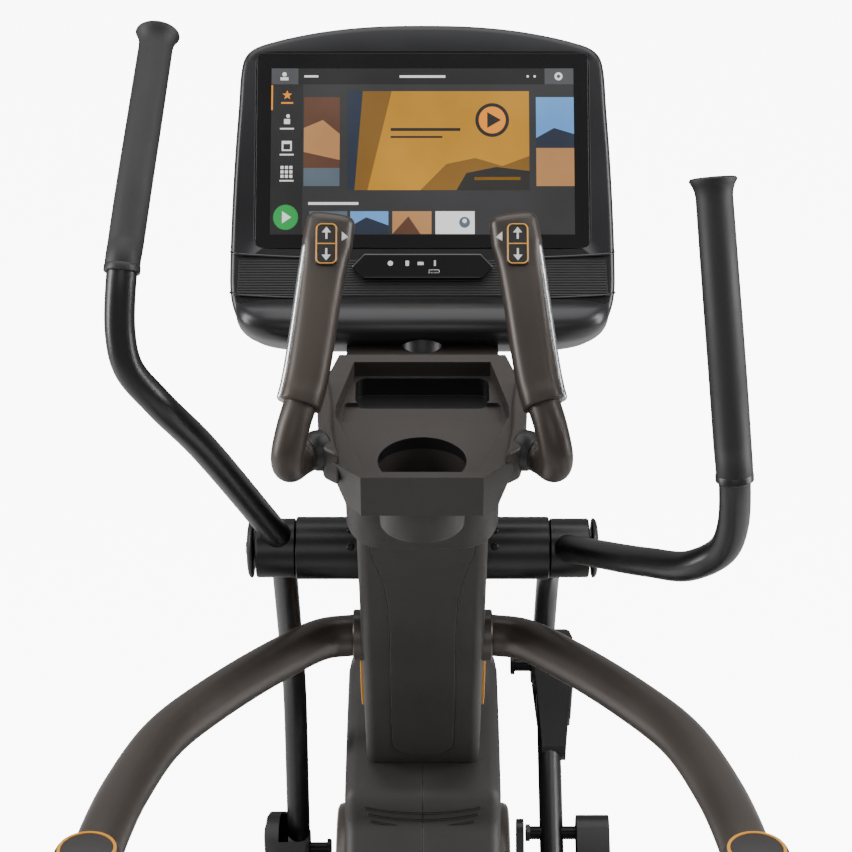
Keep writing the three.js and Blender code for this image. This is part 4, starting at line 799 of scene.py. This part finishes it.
softened("consoleBack", "console_back_cover", texturedAbsBlack, 3, segments=3)
slabPiece("portPodFace", "port_pod", polishedAbsBlack, pod["face"], 0.9, 8, screenFrame, 2.6, True)
slabPiece("portPodSocket", "port_pod", brushedSteel, roundedBox(*pod["socket"]), 6, 8.25, screenFrame, 0.3)
slabPiece("portPodSlot", "port_pod", texturedAbsBlack, roundedBox(*pod["slot"]), 6, 8.35, screenFrame, 0)
ring = np.linspace(0, 2 * np.pi, 25)[:-1]
a, b, c, d = pod["marks"]
podMarks = [np.column_stack([a + 3 * np.cos(ring), -133 + 3 * np.sin(ring)]),
            roundedBox(b - 1, b + 3, -136, -130, 0.5, 3), roundedBox(c - 3.4, c + 3.4, -135, -131.4, 0.5, 3),
            [(d - 1, -136), (d + 1, -136), (d + 1, -129.5), (d - 1, -129.5)]]
for i, mark in enumerate(podMarks):
    slabPiece(f"podMark{i}", "port_pod", whiteInk, mark, 7.5, 8.12, screenFrame, 0)
print("console made")

# The lit picture: plain interface tiles on a 304 by 166 sheet, each a thin raised layer of one ink.
glowing = {"page": ("#222223", "#252527"), "bar": ("#030304", "#050506"), "side": ("#0e0e10", "#121214"),
           "tile": ("#3c3d40", "#434447"), "white": ("#dcdcdc", "#e6e6e6"), "amber": ("#e08200", "#ea8e08"),
           "green": ("#008a38", "#009a42"), "mustard": ("#a87400", "#b68006"), "gold": ("#6e4a00", "#785204"),
           "navy": ("#101c2e", "#16243a"), "sky": ("#5088c4", "#6298ce"), "sand": ("#a07040", "#ac7c4c"),
           "brown": ("#4a2a16", "#54321c"), "steel": ("#46545f", "#505e69"), "coal": ("#12100c", "#181510")}
screenInks = {key: finishOf("lit" + key.capitalize(), shades, 0.4, 2, 0.0, 120, glow=1.5)
              for key, shades in glowing.items()}


# A rectangle's four corners.
def rect(u0, v0, u1, v1):
    return np.array([(u0, v0), (u1, v0), (u1, v1), (u0, v1)], float)


# A form of the picture by its numbers: a middle and radius make a disc, two corners a rectangle, more numbers
# are free corners. A disc's points are its middle plus the radius times cosine and sine.
def formOf(numbers):
    if len(numbers) > 4:
        return np.array(numbers, float).reshape(-1, 2)
    if len(numbers) == 4:
        return rect(*numbers)
    t = np.linspace(0, 2 * np.pi, 48 if numbers[2] > 10 else 32, endpoint=False)
    return np.array(numbers[:2], float) + numbers[2] * np.column_stack([np.cos(t), np.sin(t)])


# A star's ten points, far and near by turns.
def star(u, v, r):
    t = np.arange(10) * np.pi / 5 - np.pi / 2
    k = np.where(np.arange(10) % 2, r * 0.42, r)
    return np.column_stack([u + k * np.cos(t), v + k * np.sin(t)])


# Each form of the picture: layer, ink and numbers
picture = [(0, "page", 0, 0, 304, 166), (1, "bar", 0, 0, 304, 16), (2, "tile", 0, 0, 27, 16),
           (2, "tile", 275, 0, 304, 16), (3, "white", 13, 6, 2.2), (3, "white", 9, 9, 17, 12),
           (3, "white", 289, 8, 4), (4, "tile", 289, 8, 1.8), (2, "white", 33, 7, 47, 9),
           (2, "white", 129, 7, 175, 9.4), (2, "white", 258, 8, 1.2), (2, "white", 265, 8, 1.2),
           (1, "side", 0, 16, 32, 166), (2, "amber", 0, 17, 1.6, 42),
           (2, "amber", *star(16, 27, 5).ravel()), (2, "amber", 10, 34, 22, 35.6),
           (2, "white", 17, 48, 1.8), (2, "white", 13, 51, 19, 56), (2, "white", 9, 60, 23, 61.4),
           (2, "white", 11, 73, 21, 83), (3, "side", 12.5, 76, 19.5, 81.6), (2, "white", 9, 86, 23, 87.4),
           (2, "white", 9, 112, 23, 113.4), (2, "green", 15.5, 149, 12.4),
           (3, "white", 12, 143, 21, 149, 12, 155), (1, "mustard", 77, 23, 259, 122),
           (2, "gold", 77, 23, 121, 23, 97, 122, 77, 122), (3, "navy", 77, 23, 92, 23, 84, 122, 77, 122),
           (2, "gold", 150, 122, 176, 96, 205, 90, 232, 98, 259, 88, 259, 122),
           (3, "coal", 186, 122, 196, 105, 226, 99, 259, 103, 259, 122), (3, "gold", 204, 109, 250, 112),
           (2, "coal", 222, 52, 17), (3, "amber", 222, 52, 13.5), (4, "coal", 217, 44, 231, 52, 217, 60),
           (2, "coal", 120, 60, 190, 63), (2, "coal", 120, 68, 172, 70), (1, "brown", 33, 29, 69, 118),
           (2, "sand", 33, 60, 52, 52, 69, 66, 69, 92, 33, 84), (2, "steel", 33, 100, 69, 118),
           (1, "sky", 266, 29, 304, 118), (2, "navy", 266, 70, 284, 60, 304, 66, 304, 80, 266, 80),
           (2, "sand", 266, 80, 304, 118), (1, "white", 38, 134, 88, 136.6),
           (1, "steel", 39, 143, 77, 165.5), (2, "sand", 39, 165.5, 50, 150, 60, 156, 77, 165.5),
           (1, "sky", 80, 143, 118, 165.5), (2, "navy", 80, 158, 96, 149, 118, 157, 118, 165.5, 80, 165.5),
           (1, "sand", 122, 143, 161, 165.5), (2, "brown", 122, 165.5, 138, 148, 150, 165.5),
           (1, "white", 165, 143, 204, 165.5), (2, "steel", 194, 154, 5.5), (3, "white", 194, 152.6, 2.2)]
picture += [(2, "white", 10 + 4.4 * i, 98 + 4.4 * j, 13 + 4.4 * i, 101 + 4.4 * j) for i in range(3)
            for j in range(3)]
allPoints, allFaces, inks = [], [], []
total = 0
for layer, ink, *numbers in picture:
    form = formOf(numbers)
    sheet = np.column_stack([form[:, 0] * 344 / 304 - 172, 97.3 - form[:, 1] * 195 / 166])
    points, faces = slab(sheet, 0.02, 0.14 + 0.07 * layer)
    allPoints.append(points)
    allFaces += [[i + total for i in f] for f in faces]
    inks += [list(screenInks).index(ink)] * len(faces)
    total += len(points)
picturePiece = makePiece("litPicture", "display_screen", screenInks["page"],
                         placed(np.concatenate(allPoints), screenFrame), allFaces, stands=False)
for key in list(screenInks)[1:]:
    picturePiece.data.materials.append(screenInks[key])
picturePiece.data.polygons.foreach_set("material_index", inks)
print("picture made")

# The pulse grips: a bent tube that widens into a moulded handle with a rocker at its head. The handle's
# table is a share of the path, and the half depth and half width there.
pulse = {"stations": [(110, -292, 266), (124, -304, 263), (134, -330, 268), (135, -344, 287),
                      (129, -338, 315), (117, -312, 350), (99, -226, 451), (93.5, -201, 481)],
         "tube": 16.8, "handleFrom": 98,
         "handle": [(0, 17, 17), (0.62, 20, 21), (0.68, 20.5, 21.5), (0.8, 16.6, 22), (0.84, 15.2, 23),
                    (0.91, 15, 26), (1, 14, 25)],
         "flangeMiddle": (101, -288, 267), "flangeWay": (15, -9, -1),
         "flange": [(-2, 0), (-2, 19), (0, 21), (8, 21.5), (13, 20), (17, 17), (17, 0)],
         "strip": (101, 135), "stripOut": (18.5, -2.0), "stripHalf": (9.0, 7.2)}
rocker = {"key": (-11.6, 11.6, -22.6, 22.6, 6), "border": (-10, 10, -21, 21, 5, 10),
          "arrow": [(-1, 5), (1, 5), (1, 12), (4.6, 12), (0, 18), (-4.6, 12), (-1, 12)]}
for s, side in sideNames.items():
    path = smoothPath(np.array(pulse["stations"]) * [s, 1, 1], 150)
    reach = np.linspace(0, 1, 150)
    share, depth, width = np.array(pulse["handle"]).T
    sizes = np.column_stack([np.interp(reach, share, depth), np.interp(reach, share, width)])
    cut = pulse["handleFrom"]
    tubePiece(side + "PulseTube", side + "_pulse_grip", satinAbsBronze, path[:cut + 4], pulse["tube"],
              (-s, 0.9, 0.2), edges=(1, 1))
    tubePiece(side + "PulseHandle", side + "_pulse_grip", satinAbsBronze, path[cut:], sizes[cut:], (s, 0, 0),
              power=2.7, stands=False, edges=(2, 9), sides=56)
    turnedPiece(side + "PulseFlange", side + "_pulse_grip", texturedAbsBlack,
                np.array(pulse["flangeMiddle"]) * [s, 1, 1], np.array(pulse["flangeWay"]) * [s, 1, 1],
                pulse["flange"], stands=False)
    first, last = pulse["strip"]
    out, back = pulse["stripOut"]
    tubePiece(side + "SensorStrip", side + "_pulse_sensor", brushedSteel,
              path[first:last] + np.array([s * out, back, 0]), np.tile(pulse["stripHalf"], (last - first, 1)),
              (s, 0, 0), power=2.6, edges=(3, 3), sides=32)
    head = headFrames[s]
    slabPiece(side + "RockerKey", side + "_speed_rocker", texturedAbsBlack, roundedBox(*rocker["key"]), 11,
              18.2, head, 1.6, True)
    border = np.column_stack([roundedBox(*rocker["border"]), np.full(40, 18.4)])
    tubePiece(side + "RockerBorder", side + "_speed_rocker", amberPaint, np.concatenate([border, border[:1]]),
              0.7, (0, 0, 1), stands=False, where=head, sides=8, edges=(0.1, 0.1))
    slabPiece(side + "RockerDivide", side + "_speed_rocker", amberPaint, rect(-10, -0.6, 10, 0.6), 18, 18.6,
              head, 0)
    for name, way in (("Up", 1), ("Down", -1)):
        arrow = np.array(rocker["arrow"], float) * [1, way]
        slabPiece(f"{side}Arrow{name}", side + "_speed_rocker", whiteInk, arrow[::way], 18, 18.55, head, 0)
    mark = [(-s * 15.5, 14), (-s * 21.5, 8.5), (-s * 15.5, 4)]
    slabPiece(side + "HeadMark", side + "_pulse_grip", whiteInk, mark, 12, 15.6, head, 0)
print("pulse grips made")

# The studio: a pale floor that looks bright to the camera only, soft lamps and the camera.
studio = {"floorGlow": 9.0, "skyGlow": 9.0, "skyLight": 0.3, "lens": 103.5,
          "cameraX": 0.004, "cameraBehind": 2.559, "cameraHeight": 2.457, "cameraTilt": 65,
          # name, place, target, width, height and watts
          "lamps": [("overhead", (0, 0.4, 4.2), (0, 0, 0.8), 4.0, 3.0, 110),
                    ("leftSoft", (-3.0, -0.3, 2.0), (0, 0, 1.1), 0.8, 3.0, 130),
                    ("rightSoft", (3.0, -0.3, 2.0), (0, 0, 1.1), 0.8, 3.0, 130),
                    ("frontSoft", (0, -4.2, 3.2), (0, 0, 1.2), 3.0, 2.0, 26)]}
bpy.ops.mesh.primitive_plane_add(size=60, location=(0, 0, 0))
floor = bpy.context.object
floor.name = "studioFloor"
paleFloor = finishOf("paleFloor", ("#dcdcdb", "#e2e2e1"), 0.9, 40, 0.0, 4000)
floorTree = paleFloor.node_tree
floorShader = next(n for n in floorTree.nodes if n.type == "BSDF_PRINCIPLED")
lightPath = addNode(floorTree, "ShaderNodeLightPath")
floorGlow = addNode(floorTree, "ShaderNodeMath", {"operation": "MULTIPLY"}, {1: studio["floorGlow"]},
                    {0: lightPath.outputs["Is Camera Ray"]})
floorTree.links.new(floorGlow.outputs[0], floorShader.inputs["Emission Strength"])
floorShader.inputs["Emission Color"].default_value = (1.0, 1.0, 0.995, 1.0)
floor.data.materials.append(paleFloor)
world = bpy.data.worlds.new("softStudio")
bpy.context.scene.world = world
world.use_nodes = True
background = world.node_tree.nodes["Background"]
background.inputs["Color"].default_value = (1.0, 1.0, 1.0, 1.0)
seen = addNode(world.node_tree, "ShaderNodeLightPath")
sky = addNode(world.node_tree, "ShaderNodeMath", {"operation": "MULTIPLY_ADD"},
              {1: studio["skyGlow"], 2: studio["skyLight"]}, {0: seen.outputs["Is Camera Ray"]})
world.node_tree.links.new(sky.outputs[0], background.inputs["Strength"])
for name, spot, target, wide, high, power in studio["lamps"]:
    light = bpy.data.lights.new(name, "AREA")
    light.shape, light.size, light.size_y, light.energy = "RECTANGLE", wide, high, power
    lamp = bpy.data.objects.new(name, light)
    bpy.context.scene.collection.objects.link(lamp)
    lamp.location = spot
    lamp.rotation_euler = (Vector(target) - Vector(spot)).to_track_quat("-Z", "Y").to_euler()
view = bpy.data.cameras.new("productView")
view.lens = studio["lens"]
camera = bpy.data.objects.new("productView", view)
bpy.context.scene.collection.objects.link(camera)
camera.location = (studio["cameraX"], hubAxis[1] / 1000 - studio["cameraBehind"], studio["cameraHeight"])
camera.rotation_euler = (math.radians(studio["cameraTilt"]), 0, 0)
bpy.context.scene.camera = camera
print("studio made")
